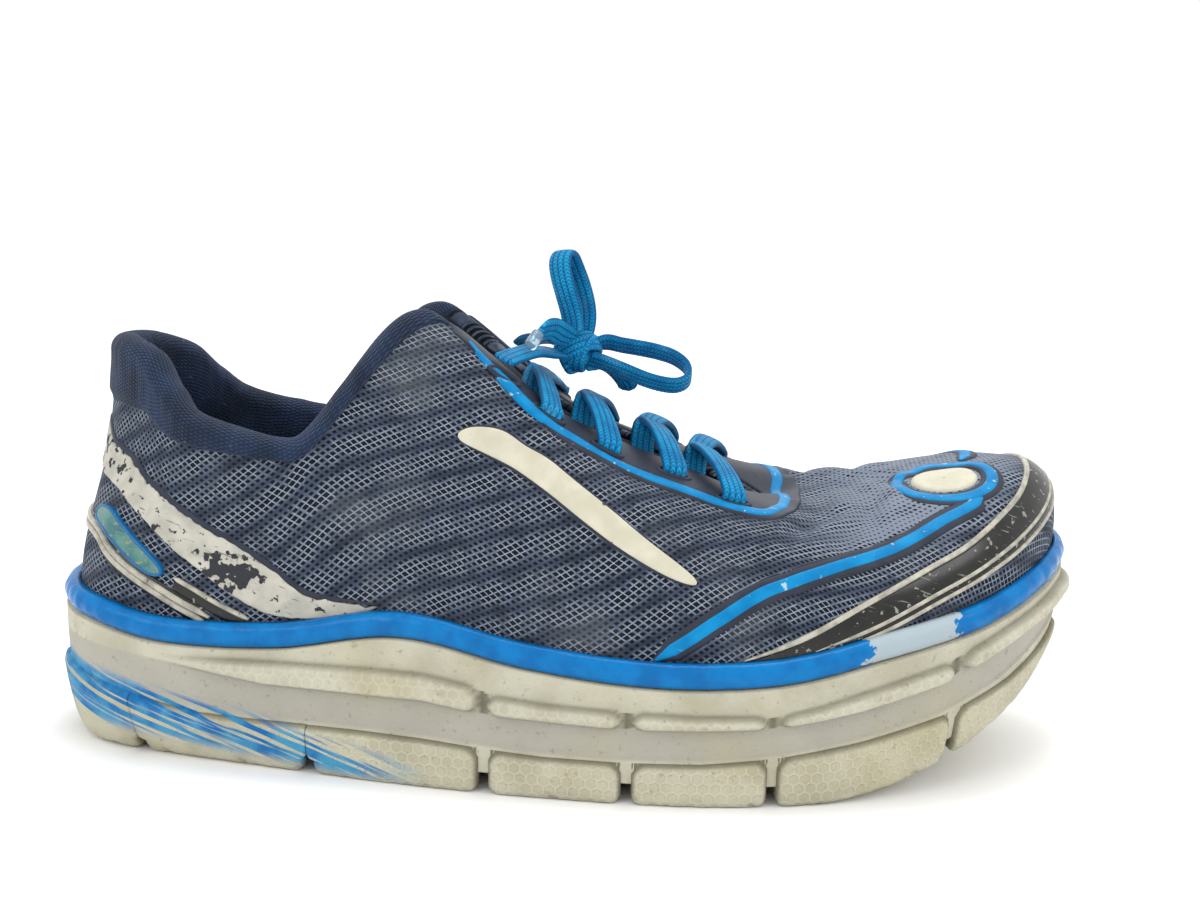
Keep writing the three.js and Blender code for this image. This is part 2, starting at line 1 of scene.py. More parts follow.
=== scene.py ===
# %% [markdown]
# # A worn running shoe
# A running shoe is a stack of soft pieces: foam platform, rubber lugs, a painted rand, a lasted upper of
# open mesh, thin welded films, a padded collar and one flat braided lace. The construction model already
# fixes every size, so this notebook only makes the surfaces. Each one is a function of two numbers,
# worked out on a grid with numpy, because the same function can then carry the panels lying on it.
# %% The frame
import bmesh
import bpy
import numpy as np
from mathutils import Matrix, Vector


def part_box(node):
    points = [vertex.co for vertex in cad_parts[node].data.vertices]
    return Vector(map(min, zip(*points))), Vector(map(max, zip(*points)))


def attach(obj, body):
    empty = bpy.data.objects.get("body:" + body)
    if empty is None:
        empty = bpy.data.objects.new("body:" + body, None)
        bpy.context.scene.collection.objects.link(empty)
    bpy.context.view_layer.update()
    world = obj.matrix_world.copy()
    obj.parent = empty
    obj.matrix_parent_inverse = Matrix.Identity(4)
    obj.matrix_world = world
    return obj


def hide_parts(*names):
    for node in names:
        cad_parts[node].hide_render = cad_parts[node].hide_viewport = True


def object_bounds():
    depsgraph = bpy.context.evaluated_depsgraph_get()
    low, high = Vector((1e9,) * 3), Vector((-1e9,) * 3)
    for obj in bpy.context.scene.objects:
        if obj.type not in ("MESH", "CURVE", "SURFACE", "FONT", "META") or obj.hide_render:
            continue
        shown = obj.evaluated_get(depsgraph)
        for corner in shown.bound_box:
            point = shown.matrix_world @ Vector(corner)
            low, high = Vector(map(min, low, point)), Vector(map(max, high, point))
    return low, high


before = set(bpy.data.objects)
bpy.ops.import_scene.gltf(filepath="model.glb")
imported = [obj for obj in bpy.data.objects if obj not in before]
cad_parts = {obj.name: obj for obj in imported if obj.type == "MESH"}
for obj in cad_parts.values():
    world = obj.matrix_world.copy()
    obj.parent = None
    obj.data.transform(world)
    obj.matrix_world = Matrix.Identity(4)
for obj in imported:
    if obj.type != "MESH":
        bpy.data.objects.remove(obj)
CAD_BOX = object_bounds()
print("construction box, m:", [[round(float(v), 4) for v in corner] for corner in CAD_BOX])

# %% [markdown]
# ## Sizes
# The shoe's own sizes, in millimetres, with the back of the heel near x = 0. A station is a place round
# the shoe: 0 behind the heel, along the outer side to the toe tip at 12.5, and back along the inner side
# to 25. A share runs from the upper's lasted base (0) to its top line (1). Stations and shares together
# give an address to every spot on the upper, so panels can be placed the way a pattern cutter would.
# %% Driving sizes
MM = 0.001
SHOE_LENGTH, BALL_WIDTH, INSTEP_HEIGHT = 289, 104, 121
FOOTBED_HEIGHT, LUG_HEIGHT = 23, 5
TOE_SPRING, TOE_SPRING_START, TOE_SPRING_RUN = 29, 208, 76
HEEL_BEVEL, HEEL_BEVEL_START = 5, 14
RAND_OVERHANG, RAND_HEIGHT = 3.7, 6.6
MESH_WALL, LASTED_WALL, COLLAR_ROLL, THROAT_EDGE = 2.2, 3, 3.6, 1.2
INSOLE_THICKNESS, TONGUE_THICKNESS = 4, 4.5
LACE_WIDTH, LACE_THICKNESS = 7, 1.8
GAP = 0.4
STATIONS, TOE_TIP = 25, 12.5
SIDES = (("lateral", False), ("medial", True))

# Top of the sole's wall: station, x in % of length, y in % of ball width, z in % of instep height.
SOLE_LINE = [
    [0, -1, 0, 31.8], [1, 0.5, -17.8, 31.8], [2, 4.5, -30.3, 30.6], [3, 11.8, -37, 27.7],
    [4, 22.8, -40.9, 28.1], [5, 34.6, -45.7, 32.6], [6, 46.4, -50.5, 27.7], [7, 58.1, -53.4, 25.2],
    [8, 69.2, -52.4, 26.4], [9, 78.9, -46.6, 31.4], [10, 87.9, -35.6, 36], [11, 94.5, -20.2, 41.3],
    [12, 98.6, 0, 44.6], [13, 99, 18.3, 45], [14, 95.2, 33.7, 42.1], [15, 87.2, 41.8, 36.8],
    [16, 76.8, 46.2, 31], [17, 65.7, 46.6, 26.9], [18, 54.7, 42.8, 26.4], [19, 43.6, 36.5, 30.6],
    [20, 32.5, 33.2, 33.9], [21, 21.5, 33.7, 29.8], [22, 11.1, 33.7, 28.1], [23, 3.8, 28.4, 30.6],
    [24, 0.3, 16.3, 31.8],
]

# Collar and throat line, where the upper ends: the same columns.
TOP_LINE = [
    [0, 3.8, 0, 90.5], [1, 5.9, -12.5, 90.1], [1.7, 9, -19.7, 87.6], [2.3, 11.1, -24, 81.4],
    [3, 13.8, -28.4, 75.6], [3.7, 18.7, -31.7, 72.3], [4.3, 22.8, -33.7, 70.5], [4.7, 25.3, -33.7, 71.9],
    [5.3, 29.1, -30.3, 83.5], [5.8, 32.5, -25, 95], [6.1, 34.9, -20.7, 100], [6.4, 37.4, -16.8, 100],
    [7, 42.9, -12, 88.8], [7.5, 47.4, -9.1, 79.8], [8, 52.6, -7.7, 73.8], [8.7, 58.8, -6.3, 67.8],
    [9.4, 63.3, -4.8, 63.2], [10.2, 65.7, -2.9, 60.5], [11.2, 67.1, -0.5, 58.8], [12.5, 67.6, 2.4, 58.3],
    [13.8, 67.1, 5.3, 59.3], [14.8, 65.7, 7.7, 61.2], [15.6, 63.3, 9.1, 63.9], [16.3, 58.8, 10.6, 68.3],
    [17, 52.6, 12, 74.4], [17.5, 47.4, 13.5, 80.2], [18, 42.9, 16.3, 89.3], [18.6, 37.4, 19.7, 100],
    [18.9, 34.9, 22.1, 100], [19.2, 32.5, 25, 95], [19.7, 29.1, 28.8, 83.5], [20.3, 25.3, 32.7, 72.3],
    [20.7, 22.8, 33.2, 70.7], [21.3, 18.7, 31.7, 72.3], [22, 13.8, 28.8, 76], [22.7, 11.1, 25, 81],
    [23.3, 8.7, 20.2, 86.8], [24, 5.5, 11.5, 90.1],
]

# How the last swells between those lines: station, rise of the side wall and its lean outwards, then
# reach and drop of the arc that comes in to the top line.
LAST_SHAPE = [
    [0, 26, -0.05, 0, 30], [2, 26, 0.02, 0, 30], [3, 26, 0, 2, 26], [4.3, 24, 0.02, 4, 20],
    [5.3, 28, 0.02, 10, 22], [6.2, 34, 0.06, 19, 18], [7, 30, 0.08, 26, 11], [8, 28, 0.1, 30, 10],
    [9.4, 28, 0.12, 36, 8], [10.5, 36, 0.12, 45, 2], [12, 47, 0.15, 54, -4],
    [13.2, 49, 0.15, 52, -5], [14.5, 40, 0.12, 40, -3], [16, 30, 0.1, 34, 3], [17.5, 29, 0.06, 27, 10],
    [18.7, 34, 0.02, 20, 17], [19.6, 28, 0, 10, 22], [20.7, 24, 0, 4, 20], [22, 26, 0, 2, 26],
    [23, 26, 0.02, 0, 30],
]

# How far the sole's wall comes in between its top line and the floor: station, mm.
WALL_INSET = [
    [0, 3], [1, 5], [2, 8], [3, 8], [4, 4], [5, 0.8], [6.5, 0.3], [7.5, 0.5], [8.5, 2], [9.5, 3],
    [10.5, 5], [12, 7], [13, 7], [14.5, 5], [16, 2], [17, 1], [19, 3], [21, 5], [23, 7], [24, 4],
]

# Stations of the grooves between the lugs, and the lace slots from toe to ankle: the station where the
# throat's edge passes beside the slot, then the slot's own station and share.
GROOVES = [0.3, 2.6, 4.27, 5.68, 6.78, 7.94, 9.72, 12.2]
LACE_SLOTS = [
    [9.8, 8.53, 0.7], [8.83, 8.17, 0.79], [8.15, 7.55, 0.78], [7.55, 6.95, 0.76], [7.05, 6.65, 0.82],
]
print("stations round the shoe:", STATIONS, "lugs a side:", len(GROOVES) - 1)

# %% [markdown]
# ## The last, as functions
# Shoemakers shape an upper over a last. Here the last is a closed curve at the lasting line, another at
# the collar and throat, and one cubic arc between them at each station. A lofted NURBS surface could do
# the same, but plain functions can be asked for a point, a normal or a slope anywhere, with whole arrays.
# %% Curves and the upper's face
def smoothstep(value, low, high):
    """0 below low, 1 above high, and an S curve between them."""
    t = np.clip((value - low) / (high - low), 0, 1)
    return t * t * (3 - 2 * t)


def mix(a, b, t):
    return a + (b - a) * t


def unit(vectors):
    return vectors / np.maximum(np.linalg.norm(vectors, axis=-1, keepdims=True), 1e-9)


def length_along(points):
    """Distance gone along a line of points, 0 at its first."""
    return np.cumsum(np.linalg.norm(np.diff(points, axis=0, prepend=points[:1]), axis=-1), 0)


def closed_curve(rows):
    """A closed curve through rows [station, values...]: cubic pieces, where the slope at each row is
    that of the line between its two neighbours."""
    table = np.array(rows, float)
    knots, values = table[:, 0], table[:, 1:]
    before, after = np.roll(knots, 1), np.roll(knots, -1)
    before[0] -= STATIONS
    after[-1] += STATIONS
    slopes = (np.roll(values, -1, 0) - np.roll(values, 1, 0)) / (after - before)[:, None]

    def at(station):
        wrapped = np.mod(np.asarray(station, float) - knots[0], STATIONS) + knots[0]
        here = np.clip(np.searchsorted(knots, wrapped, side="right") - 1, 0, len(knots) - 1)
        there = (here + 1) % len(knots)
        span = (after[here] - knots[here])[..., None]
        t = (wrapped - knots[here])[..., None] / span
        return (
            (2 * t**3 - 3 * t**2 + 1) * values[here] + (t**3 - 2 * t**2 + t) * span * slopes[here]
            + (3 * t**2 - 2 * t**3) * values[there] + (t**3 - t**2) * span * slopes[there]
        )

    return at


IN_MM = np.array([SHOE_LENGTH, BALL_WIDTH, INSTEP_HEIGHT]) / 100
sole_line = closed_curve([[row[0], *(np.array(row[1:]) * IN_MM)] for row in SOLE_LINE])
top_line = closed_curve([[row[0], *(np.array(row[1:]) * IN_MM)] for row in TOP_LINE])
last_shape = closed_curve(LAST_SHAPE)
wall_inset = closed_curve(WALL_INSET)
UP = np.array([0.0, 0.0, 1.0])
SMALL = 1e-3


def outward(station):
    """Unit vector in plan, out of the sole: the outline's slope turned by a quarter."""
    slope = sole_line(station + SMALL) - sole_line(station - SMALL)
    return unit(np.stack([slope[..., 1], -slope[..., 0], 0 * slope[..., 0]], -1))


def from_edge(station, inset, lift=0.0):
    """The sole's outline moved in by inset and up by lift."""
    inset = np.asarray(inset, float)[..., None]
    return sole_line(station) - outward(station) * inset + UP * np.asarray(lift, float)[..., None]


def underside(x):
    """Height of the ground contour: flat from heel to ball, then a power curve up to the toe."""
    toe = TOE_SPRING * np.maximum(0, (x - TOE_SPRING_START) / TOE_SPRING_RUN) ** 1.7
    return toe + HEEL_BEVEL * np.maximum(0, (HEEL_BEVEL_START - x) / HEEL_BEVEL_START) ** 2


def footbed(x):
    return FOOTBED_HEIGHT + 0.85 * underside(x)


def upper_face(station, share):
    """Cubic arc from the lasted base, up the wall and over to the top line."""
    station, share = np.broadcast_arrays(np.asarray(station, float), np.asarray(share, float))
    rise, lean, reach, drop = np.moveaxis(last_shape(station), -1, 0)[..., None]
    base = from_edge(station, RAND_OVERHANG, GAP)
    top = top_line(station)
    wall = base + rise * (UP + lean * outward(station))
    away = unit((base - top) * [1, 1, 0])
    shoulder = top + reach * away - drop * UP
    t = share[..., None]
    return (1 - t) ** 3 * base + 3 * (1 - t) ** 2 * t * wall + 3 * (1 - t) * t**2 * shoulder + t**3 * top


def face_frame(station, share):
    """Point, unit tangent up the arc and unit normal out, by small differences."""
    station, share = np.broadcast_arrays(np.asarray(station, float), np.asarray(share, float))
    high = np.clip(share + SMALL, 0, 1)
    climb = unit(upper_face(station, high) - upper_face(station, high - 2 * SMALL))
    along = upper_face(station + SMALL, share) - upper_face(station - SMALL, share)
    return upper_face(station, share), climb, unit(np.cross(along, climb))


def rim_radius(station):
    side = np.minimum(np.mod(station, STATIONS), STATIONS - np.mod(station, STATIONS))
    return mix(COLLAR_ROLL, THROAT_EDGE, smoothstep(side, 6.6, 7.15))


def wall_thickness(station, share):
    side = mix(LASTED_WALL, MESH_WALL, smoothstep(share, 0, 0.2))
    return mix(side, 2 * rim_radius(station), smoothstep(share, 0.45, 1))


SHARES = np.linspace(0, 1, 5)
print("face at the ankle, mm:", upper_face(4.3, SHARES).round(1).tolist())

# %% [markdown]
# The construction model moved the shoe so that its origin lies on the floor under the middle of its box.
# The lowest corner of the midsole is known in both frames, so their difference is the shift.
# %% From the shoe's millimetres to the frame's metres
ROUND_STEPS = 96
ring_of_stations = np.arange(ROUND_STEPS) * STATIONS / ROUND_STEPS
low_corner = np.array(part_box("midsole")[0])
SHIFT = np.array([*(low_corner[:2] - sole_line(ring_of_stations).min(0)[:2] * MM), 0.0])
print("shift, mm:", (SHIFT / MM).round(3).tolist())


def in_frame(points):
    return np.asarray(points, float) * MM + SHIFT


# %% [markdown]
# ## Camera
# A studio camera a little above the collar looks at the shoe's outer side, rolled by a degree or so. It is
# made first, since the free lace has to stay in its view.
# %% Camera
CAMERA_TURN, CAMERA_TILT, CAMERA_ROLL = np.radians([1.3, 9.2, 1.4])
CAMERA_DISTANCE = 0.4
CAMERA_LENS = 41.6
AIM_SHARES = np.array([0.5295, 0.5327, 0.5879])


def look_from(turn, tilt, roll, distance, aim):
    """A world matrix for a camera that looks at aim: back, right and up axes from three angles."""
    back = np.array([np.sin(turn) * np.cos(tilt), -np.cos(turn) * np.cos(tilt), np.sin(tilt)])
    right = np.array([np.cos(turn), np.sin(turn), 0])
    up = np.cross(back, right)
    right, up = (np.cos(roll) * right + np.sin(roll) * up, np.cos(roll) * up - np.sin(roll) * right)
    matrix = np.eye(4)
    matrix[:3] = np.stack([right, up, back, aim + back * distance], 1)
    return Matrix(matrix.tolist())


low, high = (np.array(corner, float) for corner in CAD_BOX)
camera = bpy.data.objects.new("camera", bpy.data.cameras.new("camera"))
camera.data.lens = CAMERA_LENS
camera.data.clip_start = 0.01
bpy.context.scene.collection.objects.link(camera)
camera.matrix_world = look_from(
    CAMERA_TURN, CAMERA_TILT, CAMERA_ROLL, CAMERA_DISTANCE, low + (high - low) * AIM_SHARES
)
bpy.context.scene.camera = camera
print("camera at, m:", [round(v, 4) for v in camera.matrix_world.translation])

# %% [markdown]
# ## From grids to closed meshes
# A sheet is a grid of points with a grid of pattern coordinates in millimetres and any painted marks. A
# slab closes two sheets with walls round their edge. Blender's Solidify could do it, but it can't vary
# the thickness by a formula, and here a film's edge or a lug's corner is part of the formula.
# %% Sheets, slabs and pieces
def sheet(points, uv=None, rings=(False, False), **marks):
    """A grid of points. A ring is a grid whose last row or column repeats its first."""
    points = np.asarray(points, float)
    rows, columns = points.shape[:2]
    if uv is None:
        uv = np.stack(np.meshgrid(np.arange(rows), np.arange(columns), indexing="ij"), -1) * 1.0
    marks = {name: np.broadcast_to(mark, (rows, columns)) for name, mark in marks.items()}
    return {"points": points, "uv": uv, "rings": rings, "marks": marks}


def flipped(made):
    """The same sheet facing the other way: its columns in the other order."""
    marks = {name: mark[:, ::-1] for name, mark in made["marks"].items()}
    return {**made, "points": made["points"][:, ::-1], "uv": made["uv"][:, ::-1], "marks": marks}


def strip(first, second, row_edge=False):
    """A wall from the edge line of one sheet to that of another."""
    axis = 0 if row_edge else 1
    marks = {name: np.stack([first["marks"][name], second["marks"][name]], axis) for name in first["marks"]}
    points, uv = (np.stack([first[key], second[key]], axis) for key in ("points", "uv"))
    return sheet(points, uv, **marks)


def line_of(made, index):
    """One row or column of a sheet, as a line."""
    marks = {name: mark[index] for name, mark in made["marks"].items()}
    return {"points": made["points"][index], "uv": made["uv"][index], "marks": marks}


def slab(top, bottom):
    """Two sheets of one grid closed into a body: top, bottom turned over, and four walls."""
    every = slice(None)
    first_column, last_column, first_row, last_row = (every, 0), (every, -1), (0, every), (-1, every)
    return [
        top,
        flipped(bottom),
        strip(line_of(bottom, first_column), line_of(top, first_column)),
        strip(line_of(top, last_column), line_of(bottom, last_column)),
        strip(line_of(bottom, first_row), line_of(top, first_row), row_edge=True),
        strip(line_of(top, last_row), line_of(bottom, last_row), row_edge=True),
    ]


def face_corners(field):
    """Each face's four corners in a grid of values, so that its turn is rows crossed with columns."""
    return np.stack([field[:-1, :-1], field[1:, :-1], field[1:, 1:], field[:-1, 1:]], 2)


def piece(name, sheets, finish, replaces=()):
    """One mesh from sheets, in the frame, riding on the shoe. Welding joins the sheets' shared edges."""
    points, faces, uvs, marks = [], [], [], {key: [] for key in sheets[0]["marks"]}
    first = 0
    for made in sheets:
        grid = made["points"]
        rows, columns = grid.shape[0] - made["rings"][0], grid.shape[1] - made["rings"][1]
        number = np.arange(grid.shape[0])[:, None] % rows * columns + np.arange(grid.shape[1]) % columns
        faces.append(face_corners(number).reshape(-1, 4) + first)
        points.append(grid[:rows, :columns].reshape(-1, 3))
        uvs.append(face_corners(made["uv"]).reshape(-1, 2))
        for key, parts in marks.items():
            parts.append(face_corners(made["marks"][key]).ravel())
        first += rows * columns
    mesh = bpy.data.meshes.new(name)
    mesh.from_pydata(in_frame(np.concatenate(points)), [], np.concatenate(faces))
    mesh.uv_layers.new(name="cloth").data.foreach_set("uv", np.concatenate(uvs).ravel())
    for key, parts in marks.items():
        mesh.attributes.new(key, "FLOAT", "CORNER").data.foreach_set("value", np.concatenate(parts))
    mesh.polygons.foreach_set("use_smooth", np.ones(len(mesh.polygons), bool))
    welded(mesh)
    mesh.materials.append(finish)
    made = bpy.data.objects.new(name, mesh)
    bpy.context.scene.collection.objects.link(made)
    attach(made, "root")
    if replaces:
        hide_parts(*replaces)
    print(f"{name}: {len(mesh.polygons)} faces")
    return made


WELD_DISTANCE = 2e-6


def welded(mesh):
    """Joins the points that fall together, and with them the poles and seams."""
    work = bmesh.new()
    work.from_mesh(mesh)
    bmesh.ops.remove_doubles(work, verts=work.verts, dist=WELD_DISTANCE)
    bmesh.ops.dissolve_degenerate(work, edges=work.edges, dist=WELD_DISTANCE / 4)
    work.to_mesh(mesh)
    work.free()


# %% [markdown]
# ## Finishes
# Every finish is built from nodes, because a noise or a lattice has no edge, no seam and no fixed
# resolution. Colours are chosen as sRGB, as on a swatch, and turned to the linear values light needs.
# %% One way to add a node, and the start of a finish
def linear(swatch):
    """sRGB hex to linear: the low end is a straight line, the rest a power of 2.4."""
    srgb = np.array([int(swatch[i:i + 2], 16) for i in (1, 3, 5)]) / 255
    value = np.where(srgb <= 0.04045, srgb / 12.92, ((srgb + 0.055) / 1.055) ** 2.4)
    return (*(float(v) for v in value), 1.0)


def node(tree, kind, inputs=(), out=0, **settings):
    """Adds a node, sets it up, links or fills its inputs, and gives back one of its outputs."""
    made = tree.nodes.new("ShaderNode" + kind)
    for name, value in settings.items():
        setattr(made, name, value)
    for key, value in dict(inputs).items():
        if isinstance(value, bpy.types.NodeSocket):
            tree.links.new(value, made.inputs[key])
        else:
            made.inputs[key].default_value = value
    return made.outputs[out]


COLOUR = {"data_type": "RGBA", "out": 2}


def begin(name, **constants):
    """A material with one Principled shader. Whole-surface numbers go on its own sockets."""
    material = bpy.data.materials.new(name)
    material.use_nodes = True
    tree = material.node_tree
    shader = tree.nodes["Principled BSDF"]
    for key, value in constants.items():
        shader.inputs[key.replace("_", " ")].default_value = value
    return material, tree, shader


def connect(tree, shader, colour=None, roughness=None, height=None, depth_mm=0.2, strength=1.0):
    """Wires a pattern to the shader. Height runs from 0 to 1, and depth is what 1 stands for."""
    for key, socket in (("Base Color", colour), ("Roughness", roughness)):
        if socket:
            tree.links.new(socket, shader.inputs[key])
    if height:
        bump = node(tree, "Bump", {"Strength": strength, "Distance": depth_mm * MM, "Height": height})
        tree.links.new(bump, shader.inputs["Normal"])


def place(tree):
    """Object coordinates turned to millimetres."""
    return node(tree, "VectorMath", {
        0: node(tree, "TexCoord", out="Object"), 1: (1000, 1000, 1000)}, operation="MULTIPLY")


def grime(tree, size_mm, low, high, detail=4.0, where=None):
    """Noise of a size in millimetres, stretched so that low becomes 0 and high becomes 1."""
    noise = node(tree, "TexNoise", {
        "Vector": where or place(tree), "Scale": 1 / size_mm, "Detail": detail}, normalize=True)
    return node(tree, "MapRange", {0: noise, 1: low, 2: high}, interpolation_type="SMOOTHSTEP")


def tinted(tree, amount, first, second):
    """First colour where amount is 0, second where it is 1. Either may be a swatch or a socket."""
    given = [linear(c) if isinstance(c, str) else c for c in (first, second)]
    return node(tree, "Mix", {0: amount, 6: given[0], 7: given[1]}, **COLOUR)


def cells(tree, width_mm, height_mm, corners):
    """Distance from the middle of the nearest cell, 0.5 at its edge, on two offset lattices. The
    corners choose the shape: (1, 1) makes diamonds, (0.5, 1.5) makes hexagons."""
    uv = node(tree, "UVMap", uv_map="cloth")
    scaled = node(tree, "VectorMath", {0: uv, 1: (1 / width_mm, 1 / height_mm, 0)}, operation="MULTIPLY")
    distances = []
    for offset in (0.0, 0.5):
        moved = node(tree, "VectorMath", {0: scaled, 1: (offset, offset, 0)}, operation="ADD")
        part = node(tree, "VectorMath", {0: moved}, operation="FRACTION")
        centred = node(tree, "VectorMath", {0: part, 1: (0.5, 0.5, 0)}, operation="SUBTRACT")
        folded = node(tree, "VectorMath", {0: centred}, operation="ABSOLUTE")
        slanted = node(tree, "VectorMath", {0: folded, 1: (*corners, 0)}, out=1, operation="DOT_PRODUCT")
        across = node(tree, "SeparateXYZ", {0: folded})
        distances.append(node(tree, "Math", {0: slanted, 1: across}, operation="MAXIMUM"))
    return node(tree, "Math", {0: distances[0], 1: distances[1]}, operation="MINIMUM")


def mark(tree, name):
    return node(tree, "Attribute", out=2, attribute_name=name)


# %% [markdown]
# ## Engineered mesh
# The upper is polyester mesh, knitted on a warp machine: yarns part and join again, so that each
# opening is a small diamond, wider along the foot than it is tall. Real holes would need millions of
# faces, so here the openings are painted near black, for the dark lining behind them and painted shade
# in them, and sunk in the bump, with cells 2.7 by 1.9 mm.
# %% Mesh finish
MESH_CELL = (2.7, 1.9)
ROW_TURN, ROW_SCALE = -0.42, 0.034


def mesh_finish():
    """Polyester yarn, warp knitted: open diamonds on the sides, closed and paler over the toes."""
    material, tree, shader = begin("polyester_mesh_warp_knitted", Roughness=0.86, Sheen_Weight=0.06,
                                   Sheen_Roughness=0.5, Specular_IOR_Level=0.25)
    where = place(tree)
    distance = cells(tree, *MESH_CELL, (1.0, 1.0))
    # Slanting rows of open and closed patches, 9 mm apart, as the knitting machine was told.
    uv = node(tree, "UVMap", uv_map="cloth")
    turned = node(tree, "Mapping", {0: uv, 2: (0, 0, ROW_TURN)})
    rows = node(tree, "TexWave", {"Vector": turned, "Scale": ROW_SCALE, "Distortion": 4.0, "Detail": 1.0,
                                  "Detail Scale": 0.3}, out=1, bands_direction="Y")
    patches = node(tree, "MapRange", {0: grime(tree, 3.4, 0.38, 0.6, 1.0, where), 3: 0.25})
    open_rows = node(tree, "Math", {0: rows, 1: patches}, operation="MULTIPLY")
    opening = node(tree, "Math", {0: open_rows, 1: 0.15, 2: 0.27}, operation="MULTIPLY_ADD")
    tight = node(tree, "Math", {0: mark(tree, "vamp"), 1: -0.14, 2: opening}, operation="MULTIPLY_ADD")
    fuzz = grime(tree, 0.5, 0.2, 0.8, where=where)
    frayed = node(tree, "Math", {0: fuzz, 1: 0.08, 2: distance}, operation="MULTIPLY_ADD")
    edge = node(tree, "Math", {0: tight, 1: 0.09}, operation="ADD")
    yarn = node(tree, "MapRange", {0: frayed, 1: tight, 2: edge}, interpolation_type="SMOOTHSTEP")
    thread = tinted(tree, grime(tree, 9, 0.3, 0.7, where=where), "#242e40", "#3a465a")
    lit = tinted(tree, open_rows, thread, "#98a6ba")
    pale = tinted(tree, mark(tree, "vamp"), lit, "#788292")
    # The openings between the yarns are painted near black: the dark lining behind them plus painted shade.
    colour = tinted(tree, yarn, "#070b13", pale)
    dusty = tinted(tree, node(tree, "Math", {0: grime(tree, 28, 0.5, 0.78, where=where), 1: 0.25},
                              operation="MULTIPLY"), colour, "#7c7d7c")
    inner = tinted(tree, mark(tree, "inside"), dusty, "#1d2532")
    connect(tree, shader, inner, height=yarn, depth_mm=0.5, strength=0.9)
    return material


# %% [markdown]
# ## Knit, foam, rubber, film and lace
# The rest of the finishes follow the same plan: what it is, how it was made, then what wear did to it.
# %% Knit finish
def knit_finish(name, dark, light, rib_mm=1.5):
    """Polyester rib knit from a circular machine: fine columns of stitches with a soft sheen."""
    material, tree, shader = begin(name, Roughness=0.92, Sheen_Weight=0.12, Sheen_Roughness=0.45,
                                   Specular_IOR_Level=0.2)
    where = place(tree)
    stitch = cells(tree, rib_mm, rib_mm * 0.8, (1.0, 1.0))
    loop = node(tree, "MapRange", {0: stitch, 1: 0.12, 2: 0.45}, interpolation_type="SMOOTHSTEP")
    base = tinted(tree, grime(tree, 14, 0.32, 0.7, where=where), dark, light)
    # Towards each stitch's edge the colour darkens to near black: painted shade in the grooves between
    # stitches.
    colour = tinted(tree, node(tree, "Math", {0: loop, 1: 0.6}, operation="MULTIPLY"), base, "#0d1220")
    pilled = node(tree, "Math", {0: grime(tree, 2.2, 0.66, 0.75, where=where), 1: 0.22},
                  operation="MULTIPLY")
    round_loop = node(tree, "Math", {0: 1.0, 1: loop}, operation="SUBTRACT")
    connect(tree, shader, tinted(tree, pilled, colour, "#8a93a6"), height=round_loop, depth_mm=0.35)
    return material


# %% Foam and rubber finish
SOLE_CELL = (3.1, 5.37)
STROKE_SLANT, STROKE_SIZE = 0.34, (38, 38, 1.5)


def sole_finish(name, clean, shaded, cell_depth):
    """Foam or rubber from a steel mould: matt, with the mould's hexagons on the pods, painted shade in
    hollows and underneath, and blue rubbed off another shoe at the heel."""
    material, tree, shader = begin(name, Roughness=0.78, Specular_IOR_Level=0.3)
    where = place(tree)
    hexagon = cells(tree, *SOLE_CELL, (0.5, 1.5))
    wall = node(tree, "MapRange", {0: hexagon, 1: 0.32, 2: 0.46}, interpolation_type="SMOOTHSTEP")
    on_pod = node(tree, "Math", {0: wall, 1: mark(tree, "pod")}, operation="MULTIPLY")
    base = tinted(tree, grime(tree, 12, 0.3, 0.72, where=where), clean, shaded)
    # The raised hexagon walls on the pods are painted lighter: a painted highlight on the ridges.
    lined = tinted(tree, node(tree, "Math", {0: on_pod, 1: 0.3}, operation="MULTIPLY"), base, "#d3cfbb")
    banded = tinted(tree, mark(tree, "band"), lined, "#a3a097")
    specks = node(tree, "Math", {0: grime(tree, 1.6, 0.6, 0.74, 6.0, where), 1: 0.5}, operation="MULTIPLY")
    dirty = tinted(tree, specks, banded, "#7d7663")
    yellowed = tinted(tree, node(tree, "Math", {0: grime(tree, 34, 0.5, 0.72, where=where), 1: 0.3},
                                 operation="MULTIPLY"), dirty, "#b3a878")
    # Grooves, creases round the pods, the sole's underside and the pads' inner faces are painted dark:
    # painted shade.
    hollow = tinted(tree, mark(tree, "hollow"), yellowed, "#56513f")
    # Rubbed paint lies in strokes: the noise is 40 mm long and under 2 mm across.
    stroke_place = node(tree, "Mapping", {0: where, 2: (0, STROKE_SLANT, 0), 3: STROKE_SIZE},
                        vector_type="TEXTURE")
    stroke = node(tree, "TexNoise", {"Vector": stroke_place, "Scale": 1.0, "Detail": 3.0})
    painted = node(tree, "MapRange", {0: stroke, 1: 0.44, 2: 0.5})
    scuff = node(tree, "Math", {0: painted, 1: mark(tree, "scuff")}, operation="MULTIPLY")
    blue = tinted(tree, grime(tree, 7, 0.35, 0.65, where=where), "#0a66a4", "#4391b8")
    pores = grime(tree, 0.7, 0.2, 0.8, 3.0, where)
    height = node(tree, "Math", {0: on_pod, 1: cell_depth, 2: pores}, operation="MULTIPLY_ADD")
    connect(tree, shader, tinted(tree, scuff, hollow, blue), height=height, depth_mm=0.16, strength=0.8)
    return material


# %% Painted bead and bonded film finishes
SCRATCH_SIZE = (8.0, 2.5, 0.6)


